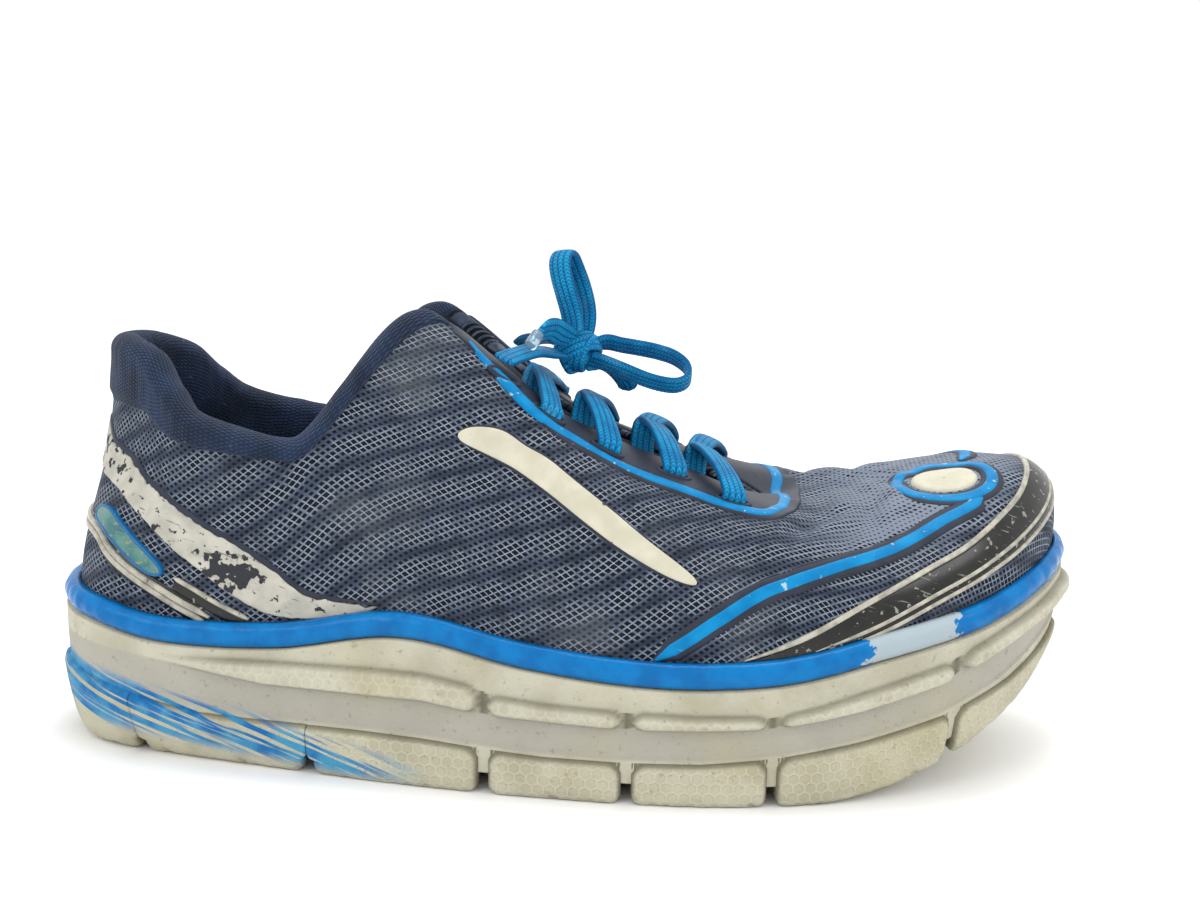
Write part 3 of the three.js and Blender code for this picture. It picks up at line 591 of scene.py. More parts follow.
def film_finish(name, clean, varied, worn, wear, roughness, grain_mm=6.0, coat=0.0, lumps=0.4,
                shine=0.28):
    """Urethane film, cast thin and bonded with heat, or the same resin moulded and painted: an even
    skin that scratches, then flakes. Wear is the share of noise below which it stays whole."""
    material, tree, shader = begin(name, Roughness=roughness, Specular_IOR_Level=shine, Coat_Weight=coat,
                                   Coat_Roughness=0.2)
    where = place(tree)
    base = tinted(tree, grime(tree, grain_mm, 0.3, 0.7, where=where), clean, varied)
    noise = node(tree, "TexNoise", {"Vector": where, "Scale": 1 / 2.4, "Detail": 8.0})
    whole = node(tree, "Math", {0: mark(tree, "worn"), 1: -0.3, 2: wear}, operation="MULTIPLY_ADD")
    gone = node(tree, "Math", {0: whole, 1: 0.03}, operation="ADD")
    flaked = node(tree, "MapRange", {0: noise, 1: whole, 2: gone})
    scratch_place = node(tree, "Mapping", {0: where, 2: (0, 0.3, 0), 3: SCRATCH_SIZE},
                         vector_type="TEXTURE")
    scratch = grime(tree, 1.0, wear + 0.02, wear + 0.06, 6.0, scratch_place)
    light = node(tree, "Math", {0: scratch, 1: 0.7}, operation="MULTIPLY")
    worn_through = node(tree, "Math", {0: flaked, 1: light}, operation="MAXIMUM")
    rough = node(tree, "MapRange", {0: worn_through, 3: roughness, 4: min(roughness + 0.4, 0.95)})
    intact = node(tree, "Math", {0: 1.0, 1: worn_through}, operation="SUBTRACT")
    height = node(tree, "Math", {0: noise, 1: lumps, 2: intact}, operation="MULTIPLY_ADD")
    connect(tree, shader, tinted(tree, worn_through, base, worn), rough, height, depth_mm=0.12, strength=0.6)
    return material


# %% Lace finish
LACE_RIBS, BRAID_STEP = 4, 1.0


def lace_finish():
    """Polyester flat lace, braided: yarns cross at a slant over the width, so that the light falls
    in narrow ribs of herringbone, 1 mm from one chevron to the next. The valleys between ribs and
    chevrons are painted deep blue as painted shade."""
    material, tree, shader = begin("polyester_lace_braided", Roughness=0.6, Sheen_Weight=0.04,
                                   Sheen_Roughness=0.4, Specular_IOR_Level=0.14)
    where = place(tree)
    uv = node(tree, "UVMap", uv_map="cloth")
    along = node(tree, "SeparateXYZ", {0: uv})
    across = node(tree, "SeparateXYZ", {0: uv}, out=1)
    half_rib = LACE_WIDTH / LACE_RIBS / 2
    folded = node(tree, "Math", {0: across, 1: half_rib}, operation="PINGPONG")
    slanted = node(tree, "Math", {0: folded, 1: 0.9, 2: along}, operation="MULTIPLY_ADD")
    turned = node(tree, "Math", {0: slanted, 1: 2 * np.pi / BRAID_STEP}, operation="MULTIPLY")
    wave = node(tree, "Math", {0: turned}, operation="SINE")
    ridge = node(tree, "MapRange", {0: wave, 1: -1.0, 2: 0.8, 3: 0.45}, interpolation_type="SMOOTHSTEP")
    fold = node(tree, "MapRange", {0: folded, 1: 0.0, 2: 0.45, 3: 0.25}, interpolation_type="SMOOTHSTEP")
    braid = node(tree, "Math", {0: ridge, 1: fold}, operation="MULTIPLY")
    yarn = tinted(tree, grime(tree, 6, 0.3, 0.7, where=where), "#0480b8", "#189fd4")
    # Low places of the braid are painted deep blue: painted shade in the valleys between ribs and chevrons.
    colour = tinted(tree, braid, "#033a6b", yarn)
    dusty = node(tree, "Math", {0: grime(tree, 9, 0.55, 0.8, where=where), 1: 0.2}, operation="MULTIPLY")
    connect(tree, shader, tinted(tree, dusty, colour, "#7fb4cf"), height=braid, depth_mm=0.35, strength=0.9)
    return material


# %% The palette
MESH = mesh_finish()
COLLAR_KNIT = knit_finish("polyester_collar_knit", "#1b2b42", "#30466a", 1.3)
TONGUE_KNIT = knit_finish("polyester_tongue_knit", "#18202e", "#293446", 1.8)
SOCKLINER_KNIT = knit_finish("sockliner_brushed_knit", "#222833", "#363d49", 1.4)
FOAM = sole_finish("eva_foam_moulded", "#c0bdab", "#aeaa96", 0.7)
RUBBER = sole_finish("blown_rubber_moulded", "#bcb8a2", "#a8a38b", 1.8)
RAND_PAINT = film_finish("urethane_bead_painted", "#0063a4", "#0274b8", "#a3b1b8", 0.76, 0.24,
                         coat=0.1, lumps=5.0, shine=0.12)
DARK_FILM = film_finish("urethane_film_black", "#0d0f0c", "#1a1b17", "#8c8c84", 0.63, 0.24, coat=0.3)
GREY_FILM = film_finish("urethane_film_slate", "#222836", "#2c3240", "#565a67", 0.7, 0.5)
BLUE_FILM = film_finish("urethane_film_blue", "#0074ae", "#0a88c2", "#a9bfcc", 0.66, 0.42, shine=0.12)
CREAM_FILM = film_finish("urethane_film_cream", "#ccc8b4", "#c0bba6", "#5b5a5c", 0.7, 0.5)
HEEL_FILM = film_finish("urethane_film_heel", "#bfbcb0", "#a6a499", "#34353a", 0.63, 0.5, lumps=3.5)
PIPING_FILM = film_finish("urethane_film_piping", "#b9b5a6", "#8f8c80", "#4b4a45", 0.68, 0.28, 3.0, 0.3)
WINDOW_GEL = film_finish("urethane_gel_window", "#1d5f68", "#4f8478", "#7d8462", 0.6, 0.12, 5.0, 0.8)
FRAME_FILM = film_finish("urethane_film_frame", "#04568a", "#0a669a", "#4f86a4", 0.72, 0.25, coat=0.2)
LACE = lace_finish()
print("finishes:", len(bpy.data.materials))

# %% [markdown]
# ## The shape wear has given the upper
# A worn upper is not the last any more. It folds where the toes bend and sags beside the eyestay. Each
# fold is a short line on the cloth laid flat, with a trough along it and a low ridge on each side. A
# cloth simulation would fold somewhere, but not where this foot folded it.
# %% The cloth laid flat
FLAT_ROWS, FLAT_COLUMNS = 500, 64


def laid_flat():
    """The top line's plan, and every step down from it laid flat in the direction that it faces."""
    station = np.linspace(0, STATIONS, FLAT_ROWS + 1)[:, None]
    points = upper_face(station, np.linspace(1, 0, FLAT_COLUMNS + 1))
    steps = np.diff(points, axis=1)
    facing = unit(steps[..., :2] + np.abs(steps[..., 2:]) * outward(station)[..., :2])
    laid = np.linalg.norm(steps, axis=-1, keepdims=True) * facing
    start = points[:, :1, :2]
    return np.concatenate([start, start + np.cumsum(laid, 1)], 1)[:, ::-1]


FLAT = laid_flat()


def flat_at(station, share):
    """Where a place on the upper lies on the flat cloth, read off the grid between four corners."""
    station, share = np.broadcast_arrays(station, share)
    row = np.mod(station, STATIONS) / STATIONS * FLAT_ROWS
    column = np.clip(share, 0, 1) * FLAT_COLUMNS
    i, j = (np.minimum(v.astype(int), n - 1) for v, n in ((row, FLAT_ROWS), (column, FLAT_COLUMNS)))
    a, b = (row - i)[..., None], (column - j)[..., None]
    return mix(mix(FLAT[i, j], FLAT[i + 1, j], a), mix(FLAT[i, j + 1], FLAT[i + 1, j + 1], a), b)


# Folds: from [station, share] to [station, share], then depth and half width in mm.
FOLDS = [
    [8.9, 0.55, 10.4, 0.80, 0.9, 3.4], [9.1, 0.47, 10.9, 0.72, 0.8, 3.0], [9.6, 0.50, 11.6, 0.78, 1.0, 3.8],
    [10.4, 0.86, 12.6, 0.84, 1.1, 3.6], [10.8, 0.76, 13.4, 0.80, 0.8, 4.2], [8.6, 0.5, 9.1, 0.62, 0.9, 2.6],
    [15.9, 0.55, 14.4, 0.80, 0.9, 3.4], [15.5, 0.45, 13.8, 0.74, 0.8, 3.6], [16.4, 0.5, 15.6, 0.66, 0.7, 3.0],
    [6.55, 0.72, 6.4, 0.5, 1.3, 4.0], [6.15, 0.62, 5.9, 0.34, 0.8, 5.0], [7.1, 0.62, 7.3, 0.36, 0.6, 5.0],
    [18.4, 0.72, 18.6, 0.48, 1.1, 4.4], [17.6, 0.6, 17.4, 0.35, 0.7, 5.0], [4.4, 0.86, 5.4, 0.6, 0.9, 5.0],
    [20.6, 0.86, 19.7, 0.6, 0.9, 5.0], [3.5, 0.8, 2.9, 0.52, 0.6, 4.4], [21.5, 0.8, 22.1, 0.52, 0.6, 4.4],
    [7.9, 0.58, 8.3, 0.3, 0.5, 4.2], [12.2, 0.62, 13.0, 0.45, 0.6, 6.0],
]
# Finer creases fan out over the toe joint, one every 8 mm or so.
CREASE_START, CREASE_RUN, CREASE_STEP = np.array([8.7, 0.56]), np.array([1.1, 0.15]), np.array([0.4, 0.012])
FOLDS += [
    [*(CREASE_START + count * CREASE_STEP + [0, 0.03 * (count % 3)]),
     *(CREASE_START + count * CREASE_STEP + CREASE_RUN * (1 - 0.12 * (count % 2))), 0.5, 1.9]
    for count in range(13)
]


def fold_relief(station, share):
    """Each fold is depth x (1 - t^2) x exp(-t^2 / 2), t being the distance to its line over its half
    width, faded towards both ends. Slow sines on the flat cloth add the wander of a hand-lasted upper."""
    here = flat_at(station, share)
    height = 0.25 * np.sin(here[..., 0] / 11 + 1.3) * np.cos(here[..., 1] / 9)
    for s0, v0, s1, v1, depth, half in FOLDS:
        start, end = flat_at(np.array(s0), np.array(v0)), flat_at(np.array(s1), np.array(v1))
        line = end - start
        along = ((here - start) @ line) / (line @ line)
        nearest = start + np.clip(along, 0, 1)[..., None] * line
        t = np.linalg.norm(here - nearest, axis=-1) / half
        fade = np.clip(1.15 - np.abs(np.clip(along, 0, 1) - 0.5) * 1.1, 0, 1)
        height = height - depth * fade * (1 - t * t) * np.exp(-t * t / 2)
    return height * smoothstep(share, 0.02, 0.16) * (1 - smoothstep(share, 0.9, 0.985))


MEETS, BLEND = (7.8, 0.35), (6.4, 9.2)


def cloth_plan(station, share):
    """The pattern's own coordinates on a grid whose shares start at 0. On the sides its rows run level
    with the sole: length along the lasted edge, and height up the wall. Over the toes it is the flat
    cloth. The two agree where they meet, at MEETS."""
    points = upper_face(station, share)
    out = outward(station)
    ahead = np.stack([-out[..., 1], out[..., 0], 0 * out[..., 0]], -1)
    base = points[:, :1]
    lasted = length_along(base)
    along = lasted + ((points - base) * ahead).sum(-1)
    steps = np.diff(points, axis=1, prepend=base)
    height = np.hypot((steps * out).sum(-1), steps[..., 2]).cumsum(1)
    medial = station > TOE_TIP
    unrolled = np.stack([np.where(medial, lasted[-1] - along, along), np.where(medial, -height, height)], -1)
    flat = flat_at(station, share)
    side = np.minimum(station, STATIONS - station)
    for half in (~medial[:, 0], medial[:, 0]):
        row = np.flatnonzero(half)[np.abs(side[half, 0] - MEETS[0]).argmin()]
        column = np.abs(share[0] - MEETS[1]).argmin()
        unrolled[half] += flat[row, column] - unrolled[row, column]
    return mix(unrolled, flat, smoothstep(side, *BLEND)[..., None])


def skin(station, share, lift=0.0):
    """A point on the worn upper, lift mm off its cloth."""
    point, _, out = face_frame(station, share)
    return point + out * (np.asarray(lift) + fold_relief(station, share))[..., None]


# %% [markdown]
# ## Upper
# The upper is a closed ring with a real wall: outer face, rolled rim and lining, carried all round the
# shoe. Built as one grid, it has no seams to hide, and the collar's padding is simply a thicker wall.
# %% Upper
ROUND, FACE, RIM, LINING = 600, 96, 14, 40


def rim(station, angle, puff=0.0):
    """The rolled edge: half a turn from the outer face (0) to the lining (pi)."""
    point, climb, out = face_frame(station, 1.0)
    radius = rim_radius(station)[..., None]
    angle = np.broadcast_to(angle, point.shape[:-1])[..., None]
    return point - out * (radius - (radius + puff) * np.cos(angle)) + climb * (radius + puff) * np.sin(angle)


def lining(station, share, puff=0.0):
    point, _, out = face_frame(station, share)
    return point - out * (wall_thickness(station, share) + puff)[..., None]


def upper_sheet():
    station = np.linspace(0, STATIONS, ROUND + 1)[:, None]
    outer, inner = np.linspace(0, 1, FACE + 1), np.linspace(1, 0, LINING + 1)
    turn = np.linspace(0, np.pi, RIM + 1)[1:-1]
    face = skin(station, outer[None])
    edge = rim(station + 0 * turn[None], turn[None])
    lined = lining(station, inner[None])
    points = np.concatenate([face, edge, lined, face[:, :1]], 1)
    shares = np.concatenate([outer, 0 * turn + 1, inner, outer[:1]])
    inside = np.concatenate([0 * outer, turn > np.pi / 2, 0 * inner + 1, outer[:1]])
    uv = cloth_plan(station, outer[None])[:, np.round(shares * FACE).astype(int)]
    x = points[..., 0]
    vamp = smoothstep(x, 196, 232) * smoothstep(shares[None], 0.3, 0.5)
    return sheet(points, uv, (True, True), vamp=vamp, inside=inside[None])


piece("mesh_upper", [upper_sheet()], MESH, ["upper"])
# %% [markdown]
# ## Sole
# The sole is a foam wall cut by mould lines: a smooth band runs the length of the shoe, with low pods
# above and below it, and grooves between the pods so that it can flex. The lines are tables of height
# against length, and one rounded-corner distance turns them into relief.
# %% The mould lines: x along the shoe, then height, in mm
BAND_LOW = [
    [8, 24], [16, 21.8], [29, 18.6], [45, 15.5], [57, 14.9], [92, 14.4], [107, 13.8], [123, 12.6],
    [138, 11.7], [159, 11.6], [180, 12], [200, 13.9], [221, 17.4], [243, 22.3], [261, 28.9],
    [272, 35.1], [281, 40],
]
BAND_HIGH = [
    [8, 32], [24, 30.5], [38, 28.6], [64, 24.8], [92, 24.1], [107, 23.9], [124, 21.5], [159, 20.2],
    [179, 20.6], [198, 21.5], [210, 23.4], [221, 25.6], [243, 31.2], [254, 35.8], [267, 41.6], [281, 46.6],
]
POD_TOP = [
    [24, 31.2], [38, 30.2], [69, 30.8], [92, 31], [107, 30.7], [119, 28.7], [125, 26.5], [138, 25.1],
    [157, 24.4], [179, 23.9], [194, 24.2], [200, 24.3], [210, 26.6], [221, 29.9], [243, 35.6],
    [262, 43.5], [281, 50.5],
]
POD_GROOVES = np.array([123, 160.5, 198, 247])
POD_PROUD, POD_EDGE, POD_CORNER, GROOVE_WIDTH = 2.8, 1.4, 3.6, 2.4
PODS_START, CREASE_WIDTH = (30, 56), 0.6


def height_line(rows, x):
    table = np.array(rows, float)
    return np.interp(x, table[:, 0], table[:, 1])


def rounded_inside(a, b, corner):
    """Distance into a shape with round corners, from the distances a and b to its two nearest sides."""
    in_corner = (a < corner) & (b < corner)
    from_corner = corner - np.hypot(np.maximum(corner - a, 0), np.maximum(corner - b, 0))
    return np.where(in_corner, from_corner, np.minimum(a, b))


def swelling(inside, edge):
    """Quarter circle: 0 at the shape's outline, 1 once edge mm inside it."""
    t = 1 - np.clip(inside / edge, 0, 1)
    return np.sqrt(1 - t * t)


def upper_pods(x, z):
    """How proud a pod stands, 0 to 1, and how deep in the crease round it a place lies, 0 to 1."""
    above = np.minimum(z - height_line(BAND_HIGH, x), height_line(POD_TOP, x) - z)
    beside = np.abs(x[..., None] - POD_GROOVES).min(-1) - GROOVE_WIDTH / 2
    inside, started = rounded_inside(above, beside, POD_CORNER), smoothstep(x, *PODS_START)
    return swelling(inside, POD_EDGE) * started, np.exp(-((inside + 0.2) / CREASE_WIDTH) ** 2) * started


SCUFF_HEIGHT, SCUFF_FALL, SCUFF_HALF, SCUFF_NARROWING, SCUFF_END = 18.5, 0.15, 9, 0.05, 112


def scuff_envelope(point):
    """Where paint rubbed off on the outer heel: a wedge that falls and narrows from the back on, clear
    of the ground."""
    x, y, z = np.moveaxis(point, -1, 0)
    middle, half = SCUFF_HEIGHT - SCUFF_FALL * x, SCUFF_HALF - SCUFF_NARROWING * x
    wedge = smoothstep(half - np.abs(z - middle), -1.5, 2.5)
    return wedge * smoothstep(SCUFF_END - x, 0, 26) * smoothstep(-y, -3, 10) * smoothstep(z, 0.2, 1.4)


def sole_marks(point, pod, hollow=0.0):
    """The painted marks of a sole sheet: pods, smooth band, painted shade in hollows and rubbed paint."""
    x, z = point[..., 0], point[..., 2]
    low, high = height_line(BAND_LOW, x), height_line(BAND_HIGH, x)
    band = smoothstep(z, low - 0.4, low + 0.4) * (1 - smoothstep(z, high - 0.4, high + 0.4))
    return {"pod": pod, "band": 0.75 * band, "hollow": hollow, "scuff": scuff_envelope(point)}


# %% Midsole
SOLE_ROUND, WALL_ROWS, BAND_DEPTH = 768, 66, 0.7
DISH_LIP, DISH_FLOOR = 7.6, 11.5


def sole_wall(station, height):
    """The side wall: 0 on the floor line, 1 at the top, drawn in below by a power curve."""
    inset = wall_inset(station)[..., 0]
    point = from_edge(station, inset * (1 - height) ** 2.5)
    floor = underside(from_edge(station, inset)[..., 0])
    point[..., 2] = mix(floor, point[..., 2], height)
    return point


def wall_share(station, lift):
    floor = underside(from_edge(station, wall_inset(station)[..., 0])[..., 0])
    return lift / (sole_line(station)[..., 2] - floor)


def at_footbed(station, inset, lift=0.0):
    point = from_edge(station, inset)
    point[..., 2] = footbed(point[..., 0]) + lift
    return point


def rungs(points):
    """A sheet across the shoe, from a closed outline: row i joins point i to the one facing it."""
    half = (len(points) - 1) // 2
    share = np.linspace(0, 1, 9)[None, :, None]
    return mix(points[:half + 1, None], points[::-1][:half + 1, None], share)


def midsole_sheets():
    station = np.linspace(0, STATIONS, SOLE_ROUND + 1)[:, None]
    start = wall_share(station, LUG_HEIGHT + GAP)
    wall = sole_wall(station, mix(start, 1, np.linspace(0, 1, WALL_ROWS)[None]))
    x, z = wall[..., 0], wall[..., 2]
    pods, crease = upper_pods(x, z)
    fade = smoothstep(np.linspace(1, 0, WALL_ROWS), 0, 0.08)[None]
    grooved = smoothstep(np.abs(x[..., None] - POD_GROOVES).min(-1), 0.4, 2.2)
    in_rows = (z > height_line(BAND_HIGH, x)) & (z < height_line(POD_TOP, x))
    started = smoothstep(x, *PODS_START)
    hollow = (1 - grooved) * in_rows * started
    above_low, under_high = (smoothstep(sign * (z - height_line(rows, x)), 0, 0.8)
                             for sign, rows in ((1, BAND_LOW), (-1, BAND_HIGH)))
    relief = POD_PROUD * pods - 0.5 * hollow - BAND_DEPTH * above_low * under_high * started
    wall = wall + outward(station) * (relief * fade)[..., None]
    ledge = np.stack([from_edge(station[:, 0], DISH_LIP), at_footbed(station[:, 0], DISH_FLOOR)], 1)
    ring = np.concatenate([wall, ledge], 1)
    around = length_along(ring[:, WALL_ROWS - 1])
    uv = np.stack([np.broadcast_to(around[:, None], ring.shape[:2]), ring[..., 2]], -1)
    blank = np.zeros((len(ring), 2))
    # The grooves between the pods and the narrow crease round each pod carry the dark mark: painted shade.
    ring_sheet = sheet(ring, uv, (True, False), **sole_marks(
        ring, np.concatenate([pods * 0.9, blank], 1),
        np.concatenate([np.maximum(0.8 * hollow, 0.55 * crease), blank], 1)))
    dish, base = rungs(ring[:, -1]), rungs(ring[:, 0])
    # The foam's underside carries the dark mark too: painted shade under the sole.
    return [ring_sheet, sheet(dish, **sole_marks(dish, 0)), flipped(sheet(base, **sole_marks(base, 0, 0.6)))]


piece("foam_midsole", midsole_sheets(), FOAM, ["midsole"])

# %% [markdown]
# ## Lugs
# The outsole is fourteen rubber pads. Each wraps from the ground round the floor edge and a short way up
# the wall, where it ends in a rounded shoulder under the smooth band. One sheet outside and one inside
# follow the same path, so the pad has a true thickness and its edges can be worn by a formula.
# %% Lugs
GROOVE_HALF, CENTRE_GROOVE = 0.04, 6
BRIDGED = (2.6, 4.27)
LUG_LONG, LUG_ACROSS, LUG_UP = 54, 20, 26
LUG_PROUD, LUG_CORNER, FLOOR_ROUND, LUG_EDGE = 1.9, 4.2, 2.4, 2.6
LUG_WALL, END_RISE, END_REACH = 1.4, 2.2, 3.4
BRIDGE_HEIGHTS = (3.5, 6.5)


def worn_edge(x, y, z):
    """Frayed rubber: a few sines whose lengths share no factor, so that no notch repeats."""
    return np.sin(x / 1.7 + 0.6 * np.sin(y)) * np.sin(x / 4.3 + z / 2) + 0.6 * np.sin(x / 0.9 + z * 1.3)


def lug_sheets(start, end, medial):
    """Columns run from the middle groove out to the floor edge, then up the wall to the shoulder."""
    rounded = (1 - np.cos(np.linspace(0, np.pi, LUG_LONG + 1))) / 2
    row = np.linspace(0, 1, LUG_LONG + 1)
    station = mix(start + GROOVE_HALF, end - GROOVE_HALF, mix(rounded, row, 0.35))[:, None]
    if medial:
        station = STATIONS - station[::-1]
    edge, facing = sole_wall(station, 0.0 * station), sole_wall(STATIONS - station, 0.0 * station)
    rung = np.linalg.norm(edge - facing, axis=-1, keepdims=True)
    across = np.linspace(0, 1, LUG_ACROSS + 1)[None, :-1, None]
    middle = mix(edge, facing, 0.5 - CENTRE_GROOVE / 2 / rung)
    bottom = mix(middle, edge, across)
    top_height = height_line(BAND_LOW, edge[..., 0]) - 0.6 - edge[..., 2]
    climb = np.linspace(0, 1, LUG_UP + 1)[None] ** 1.25
    # At the heel the grooves are short notches: higher up the wall, the pads close on each other.
    row = row[:, None]
    ends = (end, start) if medial else (start, end)
    close = smoothstep(climb * top_height, *BRIDGE_HEIGHTS)
    at_start, at_end = (
        close * (which in BRIDGED) * away for which, away in zip(ends, ((1 - row) ** 6, row**6)))
    shifted = station + (GROOVE_HALF - 0.004) * (at_end - at_start)
    wall = sole_wall(shifted, wall_share(station, climb * top_height))
    outer = np.concatenate([bottom, wall], 1)
    way_out = np.broadcast_to(outward(station), outer.shape)

    along = length_along(edge[:, 0])
    closed_start, closed_end = (LUG_CORNER * 2 * close * (which in BRIDGED) for which in ends)
    to_end = np.minimum(along[:, None] + closed_start, along[-1] - along[:, None] + closed_end)
    to_end = np.concatenate([np.minimum(along, along[-1] - along)[:, None] + 0 * bottom[..., 0], to_end], 1)
    lift = np.concatenate([0 * bottom[..., 0], climb * top_height], 1)
    to_top = np.concatenate([0 * bottom[..., 0] + 99, (1 - climb) * top_height], 1)
    inside = rounded_inside(to_top, to_end, LUG_CORNER)
    proud = swelling(inside, LUG_EDGE)
    floor_edge = 1 - swelling(climb * top_height, FLOOR_ROUND)
    drawn_in = np.concatenate([smoothstep(across[..., 0], 0.93, 1) + 0 * bottom[..., 0], floor_edge], 1)
    fray = worn_edge(outer[..., 0], outer[..., 1], outer[..., 2])
    near_floor = np.exp(-((lift - 0.8) / 1.6) ** 2) * (inside > 0.8)
    step = LUG_PROUD * proud - 1.5 * drawn_in - 0.3 * near_floor * np.abs(fray)
    on_wall = np.concatenate([
        smoothstep(across[..., 0], 0.8, 1) + 0 * bottom[..., 0], 1 + 0 * climb * top_height], 1)
    outer = outer + way_out * (step * on_wall)[..., None]
    end_lift = END_RISE * (1 - swelling(to_end, END_REACH)) * np.exp(-lift / LUG_EDGE)
    on_ground = lift < 0.01
    outer[..., 2] += end_lift + 0.9 * drawn_in * on_ground

    inner = np.concatenate([bottom, wall], 1)
    inner[..., 2] = np.maximum(inner[..., 2], underside(inner[..., 0]) + LUG_HEIGHT + 0.2)
    inner = inner - way_out * (LUG_WALL * on_wall)[..., None]
    to_edge = -np.linspace(1, 0, LUG_ACROSS + 1)[None, :-1] * rung[..., 0] / 2
    around = np.concatenate([to_edge, lift[:, LUG_ACROSS:]], 1)
    uv = np.stack([along[:, None] + 0 * around + start * 11, around], -1)
    pod = proud * np.where(lift > 1.2, 1, 0.6) * smoothstep(outer[..., 0], 30, 95)
    # Darkening along the pad's outline and in its frayed notches near the floor: painted shade.
    notches = 0.4 * near_floor * (fray > 0.9) * (lift > 0.01)
    hollow = np.maximum(0.75 * (1 - smoothstep(inside, 0.0, 1.4)), notches)
    outside = sheet(outer, uv, **sole_marks(outer, pod, hollow))
    # The pad's inner face is darkened as well: painted shade.
    return slab(outside, sheet(inner, uv, **sole_marks(inner, 0, 0.9)))


for number in range(1, len(GROOVES)):
    for side, medial in SIDES:
        piece(f"{side}_pad_{number}", lug_sheets(GROOVES[number - 1], GROOVES[number], medial),
              RUBBER, [f"{side}_lug_{number}"])

# %% [markdown]
# ## Rand
# The bead where upper meets foam is moulded and then painted. A bead could be a bevelled curve, but its
# inner face has to lie on the upper, so its section is worked out afresh at each station.
# %% Rand
BEAD_STEPS, BEAD_INSET, BEAD_PROUD = 18, 1.9, 2.2
SCRAPED_FROM, SCRAPED_TO = (217, 227), (241, 252)


def rand_sheet():
    """Half an ellipse standing on the ledge, closed behind against the upper."""
    station = np.linspace(0, STATIONS, SOLE_ROUND + 1)[:, None]
    angle = np.linspace(-0.5 * np.pi, 0.5 * np.pi, BEAD_STEPS)[None]
    top = sole_line(station)[..., 2] + RAND_HEIGHT + GAP
    ladder = np.linspace(0, 0.3, 61)[None]
    heights = upper_face(station, ladder)[..., 2]
    share = np.argmax(heights > top, 1)[:, None] / 60 * 0.3
    behind_top = upper_face(station, share) + face_frame(station, share)[2] * GAP
    behind_low = upper_face(station, 0 * share) + face_frame(station, 0 * share)[2] * GAP
    behind_top[..., 2], behind_low[..., 2] = top, sole_line(station)[..., 2] + GAP
    wave = 0.12 * np.sin(station * 9) + 0.1 * np.sin(station * 23 + 1)
    centre = from_edge(station, BEAD_INSET + 0 * station, GAP + RAND_HEIGHT / 2)
    front = centre + outward(station) * (BEAD_PROUD * np.cos(angle) + wave * np.cos(angle))[..., None]
    front = front + UP * (RAND_HEIGHT / 2 * np.sin(angle))[..., None]
    ring = np.concatenate([front, behind_top, behind_low, front[:, :1]], 1)
    around = length_along(ring[:, BEAD_STEPS // 4 + 1])
    uv = np.stack([np.broadcast_to(around[:, None], ring.shape[:2]), ring[..., 2]], -1)
    # One place on the outer side of the toe is scraped through its paint.
    x, y, _ = np.moveaxis(ring, -1, 0)
    patch = 1.75 * smoothstep(x, *SCRAPED_FROM) * (1 - smoothstep(x, *SCRAPED_TO)) * (y < 0)
    return sheet(ring, uv, (True, True), worn=patch)


piece("painted_rand", [rand_sheet()], RAND_PAINT, ["rand"])

# %% [markdown]
# ## Sockliner and tongue
# Inside lies a loose foam sheet under brushed knit, dished by the foot. The tongue is a padded strip: two
# wings lie against the lining and the middle arches over the foot. Both are slabs whose thickness falls
# away at the edges, as sewn padding does.
# %% Sockliner
def sockliner_sheets():
    station = np.linspace(0, STATIONS / 2, 161)[:, None]
    share = np.linspace(0, 1, 41)[None]
    level = GAP + INSOLE_THICKNESS
    near, far = (at_footbed(where, DISH_FLOOR + 0 * station) for where in (station, STATIONS - station))
    top = mix(near, far, share[..., None])
    rung = np.linalg.norm(near - far, axis=-1)
    bowl = 1 - 4 * share * (1 - share) * np.minimum(1, rung / 40)
    tread = 0.5 * np.exp(-((top[..., 0] - 45) / 26) ** 2) + 0.4 * np.exp(-((top[..., 0] - 195) / 30) ** 2)
    top[..., 2] = footbed(top[..., 0]) + level + 1.2 * bowl - tread * (1 - bowl)
    bottom = mix(near, far, share[..., None])
    bottom[..., 2] = footbed(bottom[..., 0]) + GAP
    return slab(sheet(top, top[..., :2]), sheet(bottom, top[..., :2]))


piece("sockliner", sockliner_sheets(), SOCKLINER_KNIT, ["insole"])

# %% Sockliner's turned-up edge
def sockliner_edge():
    """A lip 1.4 mm thick, from the sockliner up the slope of the foam to the foot of the lining."""
    station = np.linspace(0, STATIONS, 385)[:, None]
    up = np.concatenate([np.linspace(0, 1, 8), np.linspace(1, 0, 8), [0]])[None]
    front = np.concatenate([np.zeros(8), np.ones(8), [0]])[None]
    low = at_footbed(station, DISH_FLOOR - 0.2 + 0 * station, GAP + INSOLE_THICKNESS - 1)
    high = from_edge(station, DISH_LIP - 0.2 + 0 * station, 1.6 + 0 * station)
    ring = mix(low, high, up[..., None]) - outward(station) * (0.2 + 1.4 * front * (1 - 0.5 * up))[..., None]
    uv = np.stack(np.broadcast_arrays(station * 26, up * 10), -1)
    return [sheet(ring, uv, (True, True))]


piece("sockliner_lip", sockliner_edge(), SOCKLINER_KNIT)

# %% Tongue
TOP_STEP, TONGUE_ROWS, TONGUE_COLUMNS, WING_COLUMNS = 25, 23, 12, 3
TONGUE_WING, TONGUE_ARCH, TONGUE_GAP, TONGUE_TOE_GAP, TOE_ROWS = 14, 0.13, 1, 2.4, 9


